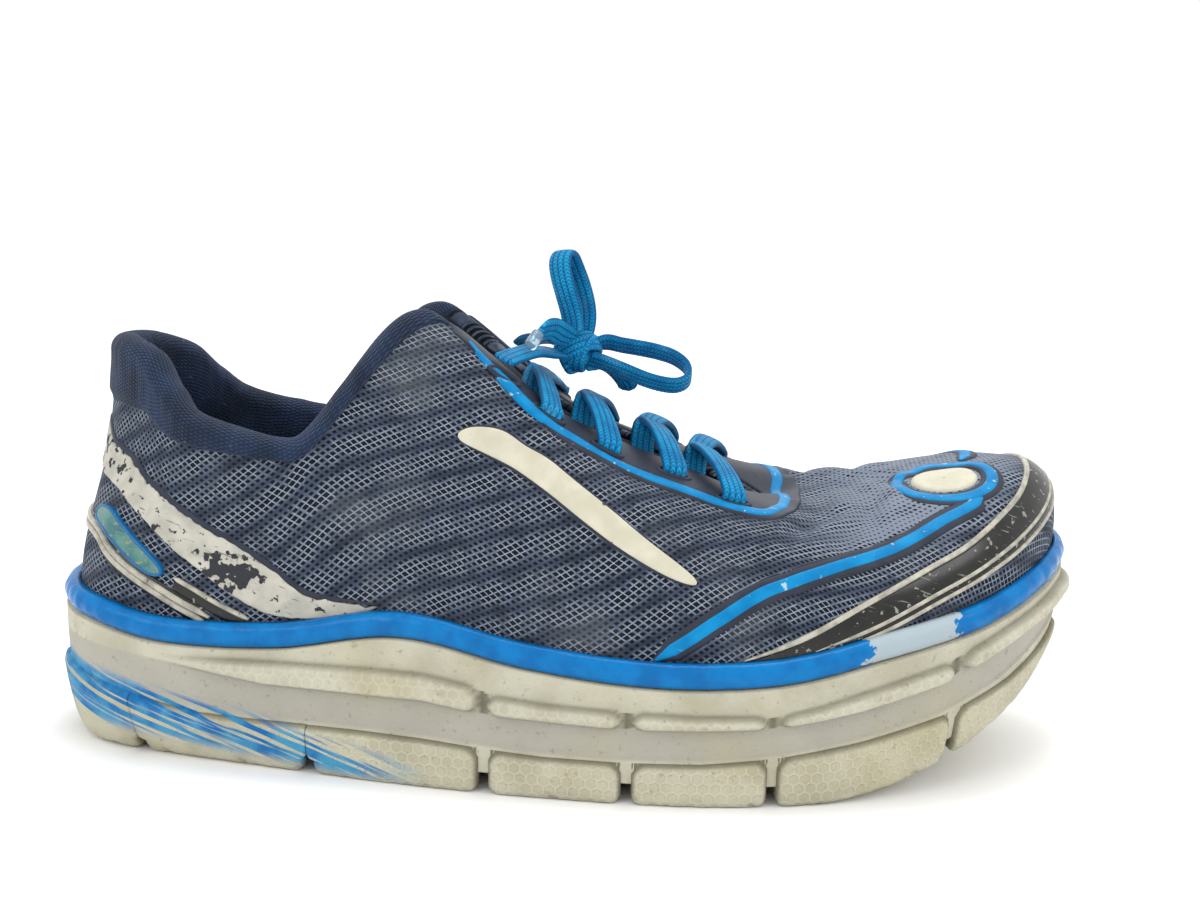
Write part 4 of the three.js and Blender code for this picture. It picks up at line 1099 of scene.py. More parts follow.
def tongue_face(row, column, depth):
    """Wings at a depth under the lining; between them a straight rung lifted by a low parabola."""
    row, column = np.broadcast_arrays(row, column)
    outer = (TOP_STEP + row) * STATIONS / ROUND_STEPS
    side = np.minimum(column, TONGUE_COLUMNS - column)
    toe = smoothstep(row, TONGUE_ROWS - TOE_ROWS, TONGUE_ROWS)
    gap = mix(TONGUE_GAP, TONGUE_TOE_GAP, toe)

    def wing(station, share):
        point, _, out = face_frame(station, share)
        return point - out * (wall_thickness(station, share) + gap + depth)[..., None]

    on_side = np.where(column < TONGUE_COLUMNS / 2, outer, STATIONS - outer)
    reach, drop = np.moveaxis(last_shape(on_side), -1, 0)[2:]
    wing_share = TONGUE_WING / (3 * np.hypot(reach, drop))
    on_wing = wing(on_side, 1 - wing_share * np.clip(1 - side / WING_COLUMNS, 0, 1))
    start, end = wing(outer, 1 + 0 * outer), wing(STATIONS - outer, 1 + 0 * outer)
    across = np.clip((column - WING_COLUMNS) / (TONGUE_COLUMNS - 2 * WING_COLUMNS), 0, 1)
    rise = TONGUE_ARCH * (1 - toe) * np.linalg.norm(end - start, axis=-1) * 4 * across * (1 - across)
    arched = mix(start, end, across[..., None]) + UP * rise[..., None]
    return np.where((side <= WING_COLUMNS)[..., None], on_wing, arched)


def tongue_sheets():
    """Padding swells between the edges, and two sewn channels run the length of it."""
    row = np.linspace(0, TONGUE_ROWS, 120)[:, None]
    column = np.linspace(0, TONGUE_COLUMNS, 61)[None]
    side = np.minimum(column, TONGUE_COLUMNS - column)
    swell = smoothstep(side, 0, 1.6) * smoothstep(row, 0, 1.2)
    channel = 0.5 * np.exp(-((side - 4.6) / 0.16) ** 2)
    outer = tongue_face(row, column, 1.9 * (1 - swell) + channel)
    inner = tongue_face(row, column, TONGUE_THICKNESS - 1.9 * (1 - swell))
    uv = np.stack(np.broadcast_arrays(row * 3.4, column * 5.2), -1)
    return slab(sheet(outer, uv), sheet(inner, uv))


tongue = piece("padded_tongue", tongue_sheets(), TONGUE_KNIT)
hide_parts("tongue")

# %% [markdown]
# ## Collar
# The collar is a knit sleeve round a foam roll, sewn to the mesh outside and to the lining inside. It
# starts where the mesh ends on the outer face, rolls over the rim and goes down into the shoe.
# %% Collar
COLLAR_EDGE = [
    [0, 0.83], [0.8, 0.835], [1.48, 0.85], [2.2, 0.885], [3, 0.935], [3.77, 0.962], [4.3, 0.975],
    [4.8, 0.978], [5.4, 0.972], [5.95, 0.965], [6.42, 0.972],
]
COLLAR_ENDS = 6.42
COLLAR_OUT, COLLAR_OVER, COLLAR_DOWN = 20, 24, 22


def collar_points(station, lift):
    """Across the sleeve, a given lift off the shoe: outer face, over the rim, and down the lining."""
    edge = np.interp(np.abs(station), *np.array(COLLAR_EDGE).T)
    share = mix(edge, 1.0, np.linspace(0, 1, COLLAR_OUT))
    outer = skin(station, share, lift)
    turn = np.linspace(0, np.pi, COLLAR_OVER + 2)[None, 1:-1]
    over = rim(station + 0 * turn, turn, lift)
    inner = lining(station, mix(1.0, 0.62, np.linspace(0, 1, COLLAR_DOWN))[None], lift)
    return np.concatenate([outer, over, inner], 1)


def collar_sheets():
    """The sleeve swells by a millimetre between its two sewn edges and both ends."""
    station = np.linspace(-COLLAR_ENDS, COLLAR_ENDS, 361)[:, None]
    place_across = np.linspace(0, 1, COLLAR_OUT + COLLAR_OVER + COLLAR_DOWN)[None]
    ends = smoothstep(COLLAR_ENDS - np.abs(station), 0, 0.2)
    swell = smoothstep(place_across, 0, 0.07) * (1 - smoothstep(place_across, 0.93, 1)) * ends
    soft = 0.12 * np.sin(station * 21) * np.sin(place_across * 9 + station * 2)
    outer = mix(collar_points(station, 0.1), collar_points(station, 1.1), swell[..., None])
    outer = outer + outward(station) * (soft * swell)[..., None]
    inner = collar_points(station, -0.4)
    length = np.cumsum(np.linalg.norm(np.diff(outer, axis=1, prepend=outer[:, :1]), axis=-1), 1)
    uv = np.stack([station * 9.5 + 0 * length, length], -1)
    return slab(sheet(outer, uv), sheet(inner, uv))


collar = piece("padded_collar", collar_sheets(), COLLAR_KNIT)

# %% [markdown]
# ## Lines that lie on the upper
# Films, pipings and welts are cut from sheet and bonded to the mesh. Their outlines are short lists of
# [station, share], joined by a smooth curve. A film is a slab between two such curves, lifted off the
# skin; a piping is a rounded strip along one. Both follow the folds, since they ask the same skin.
# %% Curves through listed points
def open_curve(rows, count):
    """Cubic pieces through the rows, with the slope of the neighbours' line at each, sampled evenly."""
    values = np.array(rows, float)
    slopes = np.gradient(values, axis=0)
    t = np.linspace(0, len(values) - 1, count)
    here = np.minimum(t.astype(int), len(values) - 2)
    t = (t - here)[:, None]
    return (
        (2 * t**3 - 3 * t**2 + 1) * values[here] + (t**3 - 2 * t**2 + t) * slopes[here]
        + (3 * t**2 - 2 * t**3) * values[here + 1] + (t**3 - t**2) * slopes[here + 1]
    )


def other_side(rows, about=STATIONS):
    """The same line on the inner side, in rising stations."""
    return [[about - station, share] for station, share in rows[::-1]]


def address(plan):
    """Station and share of places over the toes given in plan: nearest of a grid, then Newton steps."""
    station, share = np.meshgrid(np.linspace(8, 17, 181), np.linspace(0.3, 1, 71), indexing="ij")
    grid = upper_face(station, share)[..., :2].reshape(-1, 2)
    nearest = np.linalg.norm(grid - plan[..., None, :], axis=-1).argmin(-1)
    found = np.stack([station.ravel()[nearest], share.ravel()[nearest]], -1)
    for _ in range(4):
        s, v = found[..., 0], found[..., 1]
        middle = upper_face(s, v)[..., :2]
        slopes = np.stack([
            (upper_face(s + a, v + b)[..., :2] - middle) / SMALL for a, b in ((SMALL, 0), (0, SMALL))], -1)
        found = found + np.linalg.solve(slopes, (plan - middle)[..., None])[..., 0]
    return found


# A film's lower face lies this far under the skin, and its upper face starts sunk by a little.
UNDER, SUNK = 0.35, 0.15
STRIP_COLUMNS = 9


def edge_of(count, columns, ends=True):
    """How high a film stands over its grid: 1 inside, falling as a quarter circle at its edges."""
    rows, across = np.linspace(0, 1, count)[:, None], np.linspace(0, 1, columns)[None]
    inside = np.minimum(across, 1 - across) * 14
    if ends:
        inside = np.minimum(inside, np.minimum(rows, 1 - rows) * 90)
    return swelling(np.clip(inside, 0, 1), 1.0)


def on_skin(station, share, lift, rings=(False, False), **marks):
    """The upper and lower face of a film on the worn skin, as two sheets of one grid."""
    uv = flat_at(station, share)
    return [sheet(skin(station, share, height), uv, rings, **marks) for height in (lift, -UNDER)]


def film(name, low, high, finish, height=0.6, count=240, columns=24, ends=True, worn=0.0):
    """A bonded sheet between two lines on the upper."""
    low, high = open_curve(low, count), open_curve(high, count)
    across = np.linspace(0, 1, columns)[None, :, None]
    place_on = mix(low[:, None], high[:, None], across)
    station, share = place_on[..., 0], place_on[..., 1]
    lift = height * edge_of(count, columns, ends) - SUNK
    flaked = worn(station, share) if callable(worn) else worn
    return piece(name, slab(*on_skin(station, share, lift, worn=flaked)), finish)


def along_curve(points, out, width, height, closed=False):
    """A rounded strip: across runs square to the line and lies on the surface."""
    along = np.gradient(points, axis=0)
    if closed:
        along[0] = along[-1] = points[1] - points[-2]
    side = unit(np.cross(out, unit(along)))
    across = np.linspace(-1, 1, STRIP_COLUMNS)[None, :, None]
    width = np.broadcast_to(width, len(points))[:, None, None]
    crown = height * np.sqrt(np.clip(1 - across**4, 0, 1)) - 0.2
    top = points[:, None] + side[:, None] * across * width / 2 + out[:, None] * crown
    low = points[:, None] + side[:, None] * across * width / 2 - out[:, None] * UNDER
    uv = np.stack(np.broadcast_arrays(length_along(points)[:, None], across[..., 0] * width[..., 0] / 2), -1)
    rings = (closed, False)
    top, low = sheet(top, uv, rings, worn=0.0), sheet(low, uv, rings, worn=0.0)
    if not closed:
        return slab(top, low)
    every = slice(None)
    walls = [strip(line_of(low, (every, 0)), line_of(top, (every, 0))),
             strip(line_of(top, (every, -1)), line_of(low, (every, -1)))]
    return [top, flipped(low)] + [{**wall, "rings": rings} for wall in walls]


def piping(name, rows, width, finish, height=0.8, count=260, taper=True):
    """A strip along [station, share] rows on the upper, drawn to a point at open ends if it tapers."""
    found = open_curve(rows, count)
    station, share = found.T
    points = skin(station, share)
    out = face_frame(station, share)[2]
    ends = np.minimum(np.linspace(0, 1, count), np.linspace(1, 0, count))
    narrowing = np.clip(0.25 + ends * 14, 0, 1) if taper else 1
    return piece(name, along_curve(points, out, width * narrowing, height), finish)


def raised(rows, by):
    """A line moved up the upper by a share."""
    return [[station, share + by] for station, share in rows]


# %% [markdown]
# ## Eyestay, toe band and side patch
# A slate film stiffens the eyestay, with a blue line near its edge. A black band wraps the toes between
# cream pipings, and a second blue line runs from the ball to a ring over the toes. The patch on the side
# is a plain oval. The unseen inner side mirrors the outer one.
# %% Eyestay
EYESTAY_LINE = [
    [6.36, 0.962], [6.47, 0.895], [6.58, 0.795], [6.8, 0.7], [7.09, 0.69], [7.46, 0.7], [7.87, 0.688],
    [8.13, 0.67], [8.34, 0.65], [8.74, 0.645], [9.13, 0.715], [9.67, 0.81], [10.5, 0.895],
    [11.74, 0.94], [13.45, 0.933], [14.93, 0.85], [15.71, 0.75], [16.17, 0.65], [16.51, 0.65],
    [17.11, 0.655], [17.65, 0.68], [18.1, 0.7], [18.4, 0.8], [18.56, 0.9], [18.64, 0.962],
]
THROAT_LINE = [
    [station, 0.985] for station in (
        6.42, 6.6, 6.85, 7.2, 7.5, 7.9, 8.3, 8.7, 9.1, 9.6, 10.1, 10.7, 11.5, 12.4, 13.3, 14.2, 14.9,
        15.6, 16.2, 16.7, 17.2, 17.7, 18.15, 18.4, 18.58)
]
film("slate_eyestay", raised(EYESTAY_LINE, -0.03), THROAT_LINE, GREY_FILM, 0.75, 420, 40)
piping("blue_eyestay_line", raised(EYESTAY_LINE[1:-1], 0.014), 3.9, BLUE_FILM, 1.15, 420)

# %% Toe band
# Station, then the share of the band's lower and upper edge.
TOE_BAND = [
    [7.7, 0.066, 0.075], [8.32, 0.07, 0.135], [8.93, 0.09, 0.205], [9.62, 0.142, 0.275],
    [10.21, 0.155, 0.29], [10.77, 0.155, 0.307], [11.31, 0.16, 0.318], [11.82, 0.175, 0.338],
    [12.38, 0.215, 0.352], [13, 0.215, 0.345], [13.6, 0.19, 0.33], [14.3, 0.165, 0.312],
    [15, 0.155, 0.29], [15.6, 0.14, 0.265], [16.3, 0.09, 0.2], [16.9, 0.07, 0.13], [17.3, 0.066, 0.075],
]
toe_low, toe_top = ([[row[0], row[edge]] for row in TOE_BAND] for edge in (1, 2))
film("black_toe_band", toe_low, toe_top, DARK_FILM, 0.7, 420, 30)
piping("toe_piping_top", raised(toe_top, 0.006), 1.7, PIPING_FILM, 1.0, 420)
piping("toe_piping_low", raised(toe_low, -0.004), 1.3, PIPING_FILM, 1.0, 420)
middle_line = [[station, mix(low, top, 0.22)] for station, low, top in TOE_BAND]
piping("toe_piping_middle", middle_line[1:-1], 1.3, PIPING_FILM, 1.0, 420)

# %% Forefoot line, ring and spot
FORE_LINE = [
    [6.99, 0.075], [7.29, 0.143], [7.58, 0.208], [8.06, 0.3], [8.69, 0.362], [9.24, 0.403],
    [9.79, 0.435], [10.28, 0.448], [10.71, 0.435], [11.0, 0.428],
]
INNER_LINE = [
    [12.62, 0.56], [13.2, 0.51], [14.2, 0.46], [15.2, 0.435], [16, 0.4], [16.7, 0.33], [17.3, 0.24],
    [17.8, 0.15], [18.1, 0.075],
]
for side, rows in (("lateral", FORE_LINE), ("medial", INNER_LINE)):
    piping(f"slate_forefoot_{side}", rows, 7.0, GREY_FILM, 0.6)
    piping(f"blue_forefoot_{side}", rows, 4.0, BLUE_FILM, 0.9)

RING_CENTRE, RING_RADII, RING_STEPS = np.array([248.6, -5.0]), np.array([13.2, 11.6]), 160
SPOT_RADII = [9.3, 8.2]
turn = np.linspace(0, 2 * np.pi, RING_STEPS + 1)
circle = np.stack([np.cos(turn), np.sin(turn)], -1)


def toe_ring(name, radii, width, finish, height):
    station, share = address(RING_CENTRE + circle * radii).T
    out = face_frame(station, share)[2]
    return piece(name, along_curve(skin(station, share), out, width, height, closed=True), finish)


def toe_spot():
    """Rings of points from the middle out, in plan, then laid on the skin."""
    radius = np.linspace(0, 1, 14)[None, :, None]
    station, share = np.moveaxis(address(RING_CENTRE + circle[:, None] * radius * SPOT_RADII), -1, 0)
    lift = 0.8 * swelling(1 - radius[..., 0], 0.12) - SUNK
    top, low = on_skin(station, share, lift, (True, False), worn=0.0)
    return [flipped(top), low, strip(line_of(low, (slice(None), -1)), line_of(top, (slice(None), -1)))]


toe_ring("slate_toe_ring", RING_RADII, 6.6, GREY_FILM, 0.6)
toe_ring("blue_toe_ring", RING_RADII, 4.0, BLUE_FILM, 0.9)
piece("cream_toe_spot", toe_spot(), CREAM_FILM)

# %% Side patch
PATCH_LINE, PATCH_HALF, PATCH_BORDER = [[5.94, 0.625], [7.5, 0.315]], 0.062, 1.16


def patch_edge(middle, half, sign, power=2.0):
    """One long side of a patch: its middle line, plus or minus half x (1 - |t|^power)^0.5. A power of 2
    makes an oval, and a higher one makes the long sides parallel."""
    t = -np.cos(np.linspace(0, np.pi, 17))
    places = np.linspace(0, 1, len(middle))
    station, share = (np.interp((t + 1) / 2, places, line) for line in np.transpose(middle))
    width = half * np.sqrt(1 - np.abs(t) ** power)
    return np.stack([station + 0.6 * sign * width, share + sign * width], 1).tolist()


for side, turned_over in SIDES:
    for name, finish, slot, grow, height in (
        ("slate_oval", GREY_FILM, "overlay", PATCH_BORDER, 0.5),
        ("cream_oval", CREAM_FILM, "piping", 1.0, 0.8),
    ):
        low_line, high_line = (patch_edge(PATCH_LINE, PATCH_HALF * grow, sign) for sign in (-1, 1))
        if turned_over:
            low_line, high_line = other_side(low_line), other_side(high_line)
        film(f"{name}_{side}", low_line, high_line, finish, height, ends=False)

# %% [markdown]
# ## Heel
# A cream film wraps the heel, worn ragged where it flexes. Below it a clear gel window sits in a blue
# frame, and two pipings sweep down to the rand.
# %% Heel films
HEEL_TOP = [
    [0, 0.745], [0.5, 0.735], [1.14, 0.68], [2.1, 0.665], [2.8, 0.66], [3.32, 0.58], [3.71, 0.478],
    [4.04, 0.338], [4.3, 0.2], [4.83, 0.1],
]
HEEL_LOW = [
    [0, 0.59], [0.46, 0.575], [1.1, 0.545], [1.8, 0.525], [2.5, 0.5], [2.95, 0.43], [3.3, 0.335],
    [3.62, 0.215], [4, 0.12], [4.7, 0.078],
]
heel_top, heel_low = (other_side(rows, 0)[:-1] + rows for rows in (HEEL_TOP, HEEL_LOW))


def heel_flaking(station, share):
    """Where the heel film has cracked off: a patch above the outer branch, and a little at the back."""
    at_branch = np.exp(-((station - 3.62) / 0.34) ** 2 - ((share - 0.33) / 0.1) ** 2)
    at_back = 0.35 * np.exp(-(station / 1.5) ** 2)
    return np.clip(0.85 * at_branch + at_back, 0, 1)


def torn(rows, by):
    """The same line with a torn edge: sines of the station that share no factor."""
    dense = open_curve(rows, 200)
    station = dense[:, 0]
    dense[:, 1] += by * (np.sin(station * 23) * np.sin(station * 7.3 + 1) + 0.6 * np.sin(station * 51 + 2))
    return dense.tolist()


film("cream_heel_film", torn(heel_low, 0.002), torn(heel_top, 0.007), HEEL_FILM, 0.75, 640, 36,
     worn=heel_flaking)
piping("slate_heel_border", raised(heel_top, 0.012), 1.9, GREY_FILM, 0.6, 420)

WINDOW_LINE = [[1.36, 0.405], [1.78, 0.4], [2.2, 0.372], [2.58, 0.332], [2.93, 0.283]]
WINDOW_HALF, WINDOW_SQUARE = 0.043, 5.0
HEEL_PIPING = [
    [0, 0.335], [0.67, 0.323], [1.52, 0.305], [2.05, 0.262], [2.78, 0.193], [3.24, 0.117], [3.44, 0.075],
]
BRANCH = [[3.09, 0.242], [3.3, 0.198], [3.51, 0.143], [3.77, 0.08]]
for side, turned_over in SIDES:
    low, top = (patch_edge(WINDOW_LINE, WINDOW_HALF, sign, WINDOW_SQUARE) for sign in (-1, 1))
    top, low, branch = [other_side(rows, 0) if turned_over else rows for rows in (top, low, BRANCH)]
    around = top + low[::-1][1:-1] + top[:1]
    film(f"gel_window_{side}", low, top, WINDOW_GEL, 1.5, 120, 24)
    piping(f"blue_window_frame_{side}", around, 1.3, FRAME_FILM, 1.7, 260, taper=False)
    piping(f"slate_branch_{side}", branch, 4.4, DARK_FILM, 0.7)
    piping(f"cream_branch_{side}", raised(branch, 0.026), 1.3, PIPING_FILM, 1.1)
heel_piping = other_side(HEEL_PIPING, 0)[:-1] + HEEL_PIPING
piping("slate_heel_strip", raised(heel_piping, 0.016), 5.6, DARK_FILM, 0.6, 420)
piping("heel_piping_low", heel_piping, 1.9, PIPING_FILM, 1.2, 420)
piping("heel_piping_top", raised(heel_piping, 0.031), 1.9, PIPING_FILM, 1.3, 420)

# %% [markdown]
# ## Lace
# One flat braided lace runs through five pairs of slots. From each slot it goes under the eyestay, comes
# out of the throat, arches over the tongue and dives into the facing slot, one place nearer the toe. It
# is made as a thin rounded section carried along a path, with its width always square to the path.
# %% A band of lace
BAND_CORNERS, LACE_STEP = 20, 0.8


def lace_sheets(points, refs, width=LACE_WIDTH, thickness=LACE_THICKNESS):
    """Rounded flat section: width x cos and thickness x sin, the cosine pressed outwards. Both ends
    close on a point, over three last rows."""
    points, refs = np.asarray(points, float), np.asarray(refs, float)
    along = unit(np.gradient(points, axis=0))
    across = unit(refs - along * (refs * along).sum(-1, keepdims=True))
    face = np.cross(along, across)
    angle = np.linspace(0, 2 * np.pi, BAND_CORNERS + 1)[None]
    flat = np.sign(np.cos(angle)) * np.abs(np.cos(angle)) ** 0.55
    crown = np.sign(np.sin(angle)) * np.abs(np.sin(angle)) ** 0.8
    steps = np.arange(len(points))
    closing = np.clip(np.minimum(steps, steps[::-1]) / 2, 0, 1)[:, None] ** 0.5
    half = closing * np.broadcast_to(width, len(points))[:, None] / 2
    deep = closing * np.broadcast_to(thickness, len(points))[:, None] / 2
    travelled = length_along(points)[:, None]
    # Braid is never quite flat: its width cups a little, one way and then the other.
    cup = 0.35 * np.sin(travelled / 6.5) * (flat**2 - 0.4)
    ring = (points[:, None] + across[:, None] * (half * flat)[..., None]
            + face[:, None] * (deep * crown + cup * closing)[..., None])
    uv = np.stack(np.broadcast_arrays(travelled, half * flat + LACE_WIDTH * 2), -1)
    return [flipped(sheet(ring, uv, (False, True)))]


def smooth_lace(knots, refs):
    """Listed points joined smoothly and measured out in equal steps, with their width directions."""
    both = open_curve(np.concatenate([knots, refs], 1), 40 * len(knots))
    travelled = length_along(both[:, :3])
    length = travelled[-1]
    steps = np.linspace(0, length, int(length / LACE_STEP) + 1)
    made = np.stack([np.interp(steps, travelled, column) for column in both.T], 1)
    return made[:, :3], made[:, 3:], length


# %% Lace runs
ARCH_HEIGHTS = [7.5, 8.5, 8.5, 5]
EMERGE = 0.2


def on_side(station, medial):
    return STATIONS - station if medial else station


def slot_frame(index, medial):
    """A lace slot's station and share, its middle, and the way out of the shoe there."""
    _, station, share = LACE_SLOTS[index]
    station, share = np.array(on_side(station, medial)), np.array(share)
    point, _, out = face_frame(station, share)
    return station, share, point, out


def slot_point(index, medial, lift):
    """A place over (lift above 0) or under the eyestay at a lace slot."""
    station, share, point, out = slot_frame(index, medial)
    depth = lift if lift > 0 else lift - float(wall_thickness(station, share))
    return point + out * depth


def edge_point(index, medial, lift):
    """The same at the throat's edge beside the slot."""
    station = np.array(on_side(LACE_SLOTS[index][0] + EMERGE, medial))
    point, _, out = face_frame(station, np.array(0.985))
    return point + out * (lift if lift > 0 else lift - 2 * THROAT_EDGE)


def lace_run(medial):
    """The knots of one lace end's whole run, from its ankle slot to its toe slot."""
    knots, refs = [slot_point(4, medial, 0.6)], []
    for crossing in (3, 2, 1, 0):
        here, above = (top_line(np.array(LACE_SLOTS[index][0])) for index in (crossing, crossing + 1))
        throat = here - above
        under = [slot_point(crossing + 1, medial, -0.9), edge_point(crossing + 1, medial, -0.9)]
        end = slot_point(crossing, not medial, GAP + LACE_THICKNESS)
        edge = top_line(np.array(on_side(LACE_SLOTS[crossing + 1][0] + EMERGE, medial)))
        across = unit((end - edge) * [1, 1, 0])
        start = edge + across * 4.5 + UP * 1.2
        arch = UP * ARCH_HEIGHTS[crossing]
        t = np.linspace(0, 1, 9)[:, None]
        over = ((1 - t)**3 * start + 3 * (1 - t)**2 * t * (start + across * 2 + arch)
                + 3 * (1 - t) * t**2 * (end - across * 6 + arch) + t**3 * end)
        knots += [*under, *over, slot_point(crossing, not medial, 0.4)]
        refs += [throat] * (len(knots) - len(refs))
        medial = not medial
    knots += [slot_point(0, medial, -0.9), edge_point(0, medial, -0.9)]
    refs += [refs[-1]] * (len(knots) - len(refs))
    return np.array(knots), unit(np.array(refs))


for side, medial in SIDES:
    knots, refs = lace_run(medial)
    line, widths, length = smooth_lace(knots, refs)
    run = piece(f"lace_run_{side}", lace_sheets(line, widths, thickness=LACE_THICKNESS + 0.5), LACE)
    if not medial:
        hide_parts(*(f"lace_crossing_{number}" for number in range(1, 5)))
    print(f"lace run {side}: {length:.0f} mm")

# %% Slots in the eyestay
SLOT_RADII = np.array([4.6, 1.7])


def slot_welt(index, medial):
    """An oval bead round the slot, its long side along the throat."""
    station, _, point, out = slot_frame(index, medial)
    throat = unit(top_line(station + 0.4) - top_line(station - 0.4))
    throat = unit(throat - out * (throat @ out))
    oval = circle * SLOT_RADII
    points = point + out * 0.6 + oval[:, :1] * throat + oval[:, 1:] * np.cross(out, throat)
    return along_curve(points, np.broadcast_to(out, points.shape), 1.5, 0.9, closed=True)


for index in range(len(LACE_SLOTS)):
    for side, medial in SIDES:
        piece(f"slot_welt_{side}_{index + 1}", slot_welt(index, medial), GREY_FILM)

# %% [markdown]
# ## Bow
# The two lace ends cross in a knot and make a bow: one loop stands up and one lies forward. Each end is
# one cord, from its ankle slot through the knot, round its loop and out to a short tail. The lateral tail
# still has its clear tip. The routes follow the construction model's own, with the loops drawn closer.
# %% Free lace
BOW = {
    "lace_lateral": {
        "route": [
            [124, -22.8, 110.8], [127, -17.6, 111.8], [131.4, -10.5, 112.6], [136, -4, 111.6],
            [141, 0.2, 111], [144.2, 3, 114.6], [145.4, 4.4, 119.2], [145.2, 4.8, 124],
            [143.8, 5, 129.5], [141.8, 4.4, 135], [140.2, 2.6, 138.8], [138.8, 0, 139.4],
            [138, -2.4, 137], [138.6, -3.2, 132.8], [140, -3, 128], [141.4, -2.2, 123.4],
            [142.2, -1.8, 119.4], [142.2, -3.0, 116.4], [139.6, -4.8, 116.8], [136.8, -8.6, 118.6],
            [134, -13.2, 118.2], [132.4, -16.4, 116.2],
        ],
        "width": [[0.79, -0.48, -0.36]] * 4 + [[0.84, -0.45, -0.2]] + [[0.86, -0.5, 0.1]] * 12
        + [[0.6, -0.45, 0.6]] + [[0.35, -0.35, 0.87]] * 4,
        "replaces": ["lace_lead_lateral", "lace_loop_up", "lace_end_lateral"],
    },
    "lace_medial": {
        "route": [
            [125.4, 25.5, 110.6], [128.6, 20, 113], [133.4, 13, 114], [138.5, 7.5, 113],
            [144.5, 4.4, 112.4], [151.3, 4.4, 114.2], [156, 4.2, 113.6], [161, 3.6, 113],
            [166, 3, 112.2], [171.2, 2.2, 110.6], [174.8, 0.6, 107.9], [175.2, -1.8, 105],
            [172.2, -3.4, 103.4], [168, -3.8, 103.6], [163, -3.8, 104.8], [157.5, -3.4, 106.8],
            [152, -1.6, 108.6], [147.4, 2, 109.4], [150, 6.4, 107.8], [153.8, 8.6, 106],
            [157, 10.4, 102.6], [158.6, 11.6, 99.4],
        ],
        "width": [[0.76, 0.51, -0.36]] * 4 + [[0.4, -0.65, 0.15]] + [[0, -0.76, 0.65]] * 12
        + [[0.4, -0.75, 0.4]] + [[0.7, -0.6, 0.2]] * 4,
        "replaces": ["lace_lead_medial", "lace_loop_front", "lace_end_medial"],
    },
}


def aglet_sheets(start, end, radius):
    """A tube with rounded ends: circles whose radius falls as a quarter circle at each end."""
    share = np.linspace(0, 1, 22)[:, None]
    axis = unit(end - start)
    side = unit(np.cross(axis, UP))
    turn = np.linspace(0, 2 * np.pi, 25)[None]
    around = side * np.cos(turn)[..., None] + np.cross(axis, side) * np.sin(turn)[..., None]
    reach = radius * swelling(np.minimum(share, 1 - share), 0.12)
    ring = mix(start, end, share)[:, None] + around * reach[..., None]
    return [flipped(sheet(ring, None, (False, True), worn=0.0))]


CLEAR_TIP, _, clear_shader = begin("acetate_tip_shrunk", Roughness=0.18, Transmission_Weight=0.75, IOR=1.48)
clear_shader.inputs["Base Color"].default_value = linear("#bcdcea")
TIP_START, TIP_END, TIP_RADIUS = np.array([133.3, -14.4, 117.9]), np.array([131.2, -18.6, 114.4]), 1.8
aglet = piece("clear_aglet", aglet_sheets(TIP_START, TIP_END, TIP_RADIUS), CLEAR_TIP, ["aglet"])
for name, facts in BOW.items():
    line, widths, length = smooth_lace(np.array(facts["route"]), np.array(facts["width"]))
    rows = np.linspace(0, 1, len(line))
    narrow = mix(LACE_WIDTH, 2.4, smoothstep(rows, 0.94, 0.98)) if name == "lace_lateral" else LACE_WIDTH
    cord = piece(name, lace_sheets(line, widths, narrow), LACE, facts["replaces"])
    print(f"{name}: {length:.0f} mm")

# %% Knot
KNOT_CENTRE = np.array([144, 2, 111.6])


def wrap(axis, radii, turns, tilt):
    """A band wound round an axis: an ellipse that drifts along the axis as it turns."""
    axis = unit(np.array(axis, float))
    side = unit(np.cross(axis, UP))
    up = np.cross(side, axis)
    angle = np.linspace(tilt, tilt + turns * 2 * np.pi, int(44 * turns))[:, None]
    drift = np.linspace(-1, 1, len(angle))[:, None]
    line = (KNOT_CENTRE + side * radii[0] * np.cos(angle) + up * radii[1] * np.sin(angle)
            + axis * drift * radii[2])
    return line, np.broadcast_to(axis, line.shape)


# Axis, reach across and up, drift along the axis, turns and starting angle of each wrap.
WRAPS = [
    [(1, -0.25, -0.2), (4.9, 4.8, 2.4), 1.6, 0.4], [(0.35, 0.9, 0.5), (2.8, 2.6, 3.4), 1.6, 2.2],
    [(-0.6, 0.4, 1), (5.6, 5.2, 1.8), 1.1, 3.6],
]
WRAP_WIDTH, WRAP_THICKNESS = 6.2, 2.2
knot_parts = []
for axis, radii, turns, tilt in WRAPS:
    line, widths = wrap(axis, radii, turns, tilt)
    knot_parts += lace_sheets(line, widths, WRAP_WIDTH, WRAP_THICKNESS)
piece("lace_knot_wraps", knot_parts, LACE, ["lace_knot"])

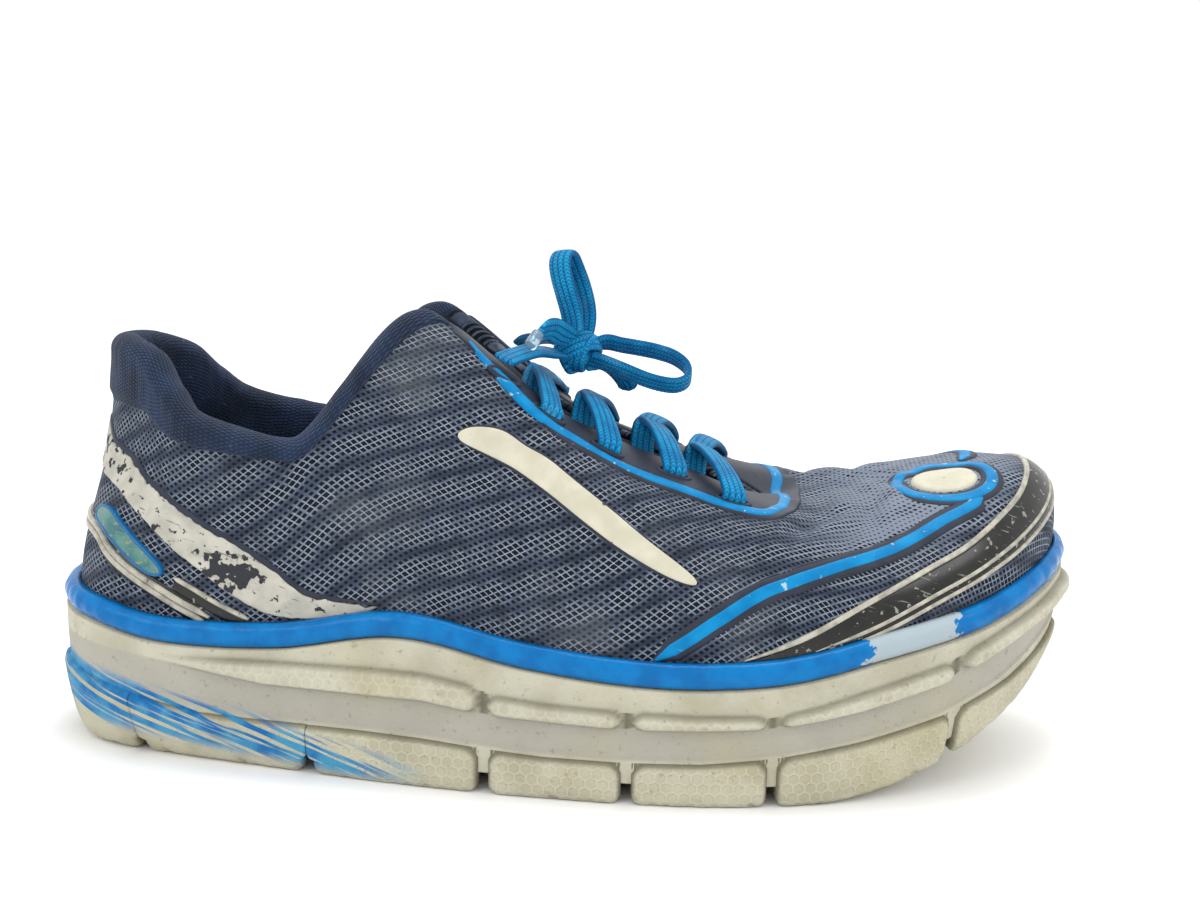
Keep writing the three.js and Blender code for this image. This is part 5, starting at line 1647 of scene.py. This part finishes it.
# %% [markdown]
# ## Studio
# A pale floor that sweeps up into its own backdrop has no horizon line. Soft boxes at both sides, one
# overhead and one behind give even light with gentle shadows, as for a catalogue.
# %% Floor and light
FLOOR_REACH, SWEEP_START, SWEEP_HEIGHT = 30.0, 20.0, 0.4
FLOOR_RINGS, FLOOR_TURN = 60, 96


def floor_object():
    """Circles on the floor; beyond the sweep's start they rise as a square."""
    radius = np.linspace(0.0, FLOOR_REACH, FLOOR_RINGS)[:, None]
    turn = np.linspace(0, 2 * np.pi, FLOOR_TURN + 1)[None]
    rise = SWEEP_HEIGHT * np.clip((radius - SWEEP_START) / (FLOOR_REACH - SWEEP_START), 0, 1) ** 2
    grid = np.stack(np.broadcast_arrays(radius * np.cos(turn), radius * np.sin(turn), rise), -1)[:, :-1]
    number = np.arange(FLOOR_RINGS)[:, None] * FLOOR_TURN + np.arange(FLOOR_TURN + 1) % FLOOR_TURN
    mesh = bpy.data.meshes.new("studio_floor")
    mesh.from_pydata(grid.reshape(-1, 3), [], face_corners(number).reshape(-1, 4))
    mesh.polygons.foreach_set("use_smooth", np.ones(len(mesh.polygons), bool))
    welded(mesh)
    material, _, shader = begin("paper_sweep_matt", Roughness=0.9)
    shader.inputs["Base Color"].default_value = linear("#fafafa")
    mesh.materials.append(material)
    made = bpy.data.objects.new("studio_floor", mesh)
    bpy.context.scene.collection.objects.link(made)
    return made


floor_object()


def soft_box(name, where, power, size):
    light = bpy.data.objects.new(name, bpy.data.lights.new(name, "AREA"))
    light.data.energy, light.data.size = power, size
    light.location = where
    light.rotation_mode = "QUATERNION"
    light.rotation_quaternion = light.location.to_track_quat("Z", "Y")
    bpy.context.scene.collection.objects.link(light)


for name, where, power, size in (
    ("box_left", (-1.1, -1.2, 1.1), 4.5, 0.6), ("box_right", (1.3, -0.9, 1.3), 4.5, 0.6),
    ("box_top", (0.1, 0.2, 1.7), 9, 0.8), ("box_back", (0.2, 1.6, 1.0), 3, 0.9),
):
    soft_box(name, where, power, size)
world = bpy.data.worlds.new("studio_light")
world.use_nodes = True
world.node_tree.nodes["Background"].inputs["Color"].default_value = linear("#ffffff")
world.node_tree.nodes["Background"].inputs["Strength"].default_value = 1.06
bpy.context.scene.world = world
bpy.context.scene.view_settings.view_transform = "Standard"
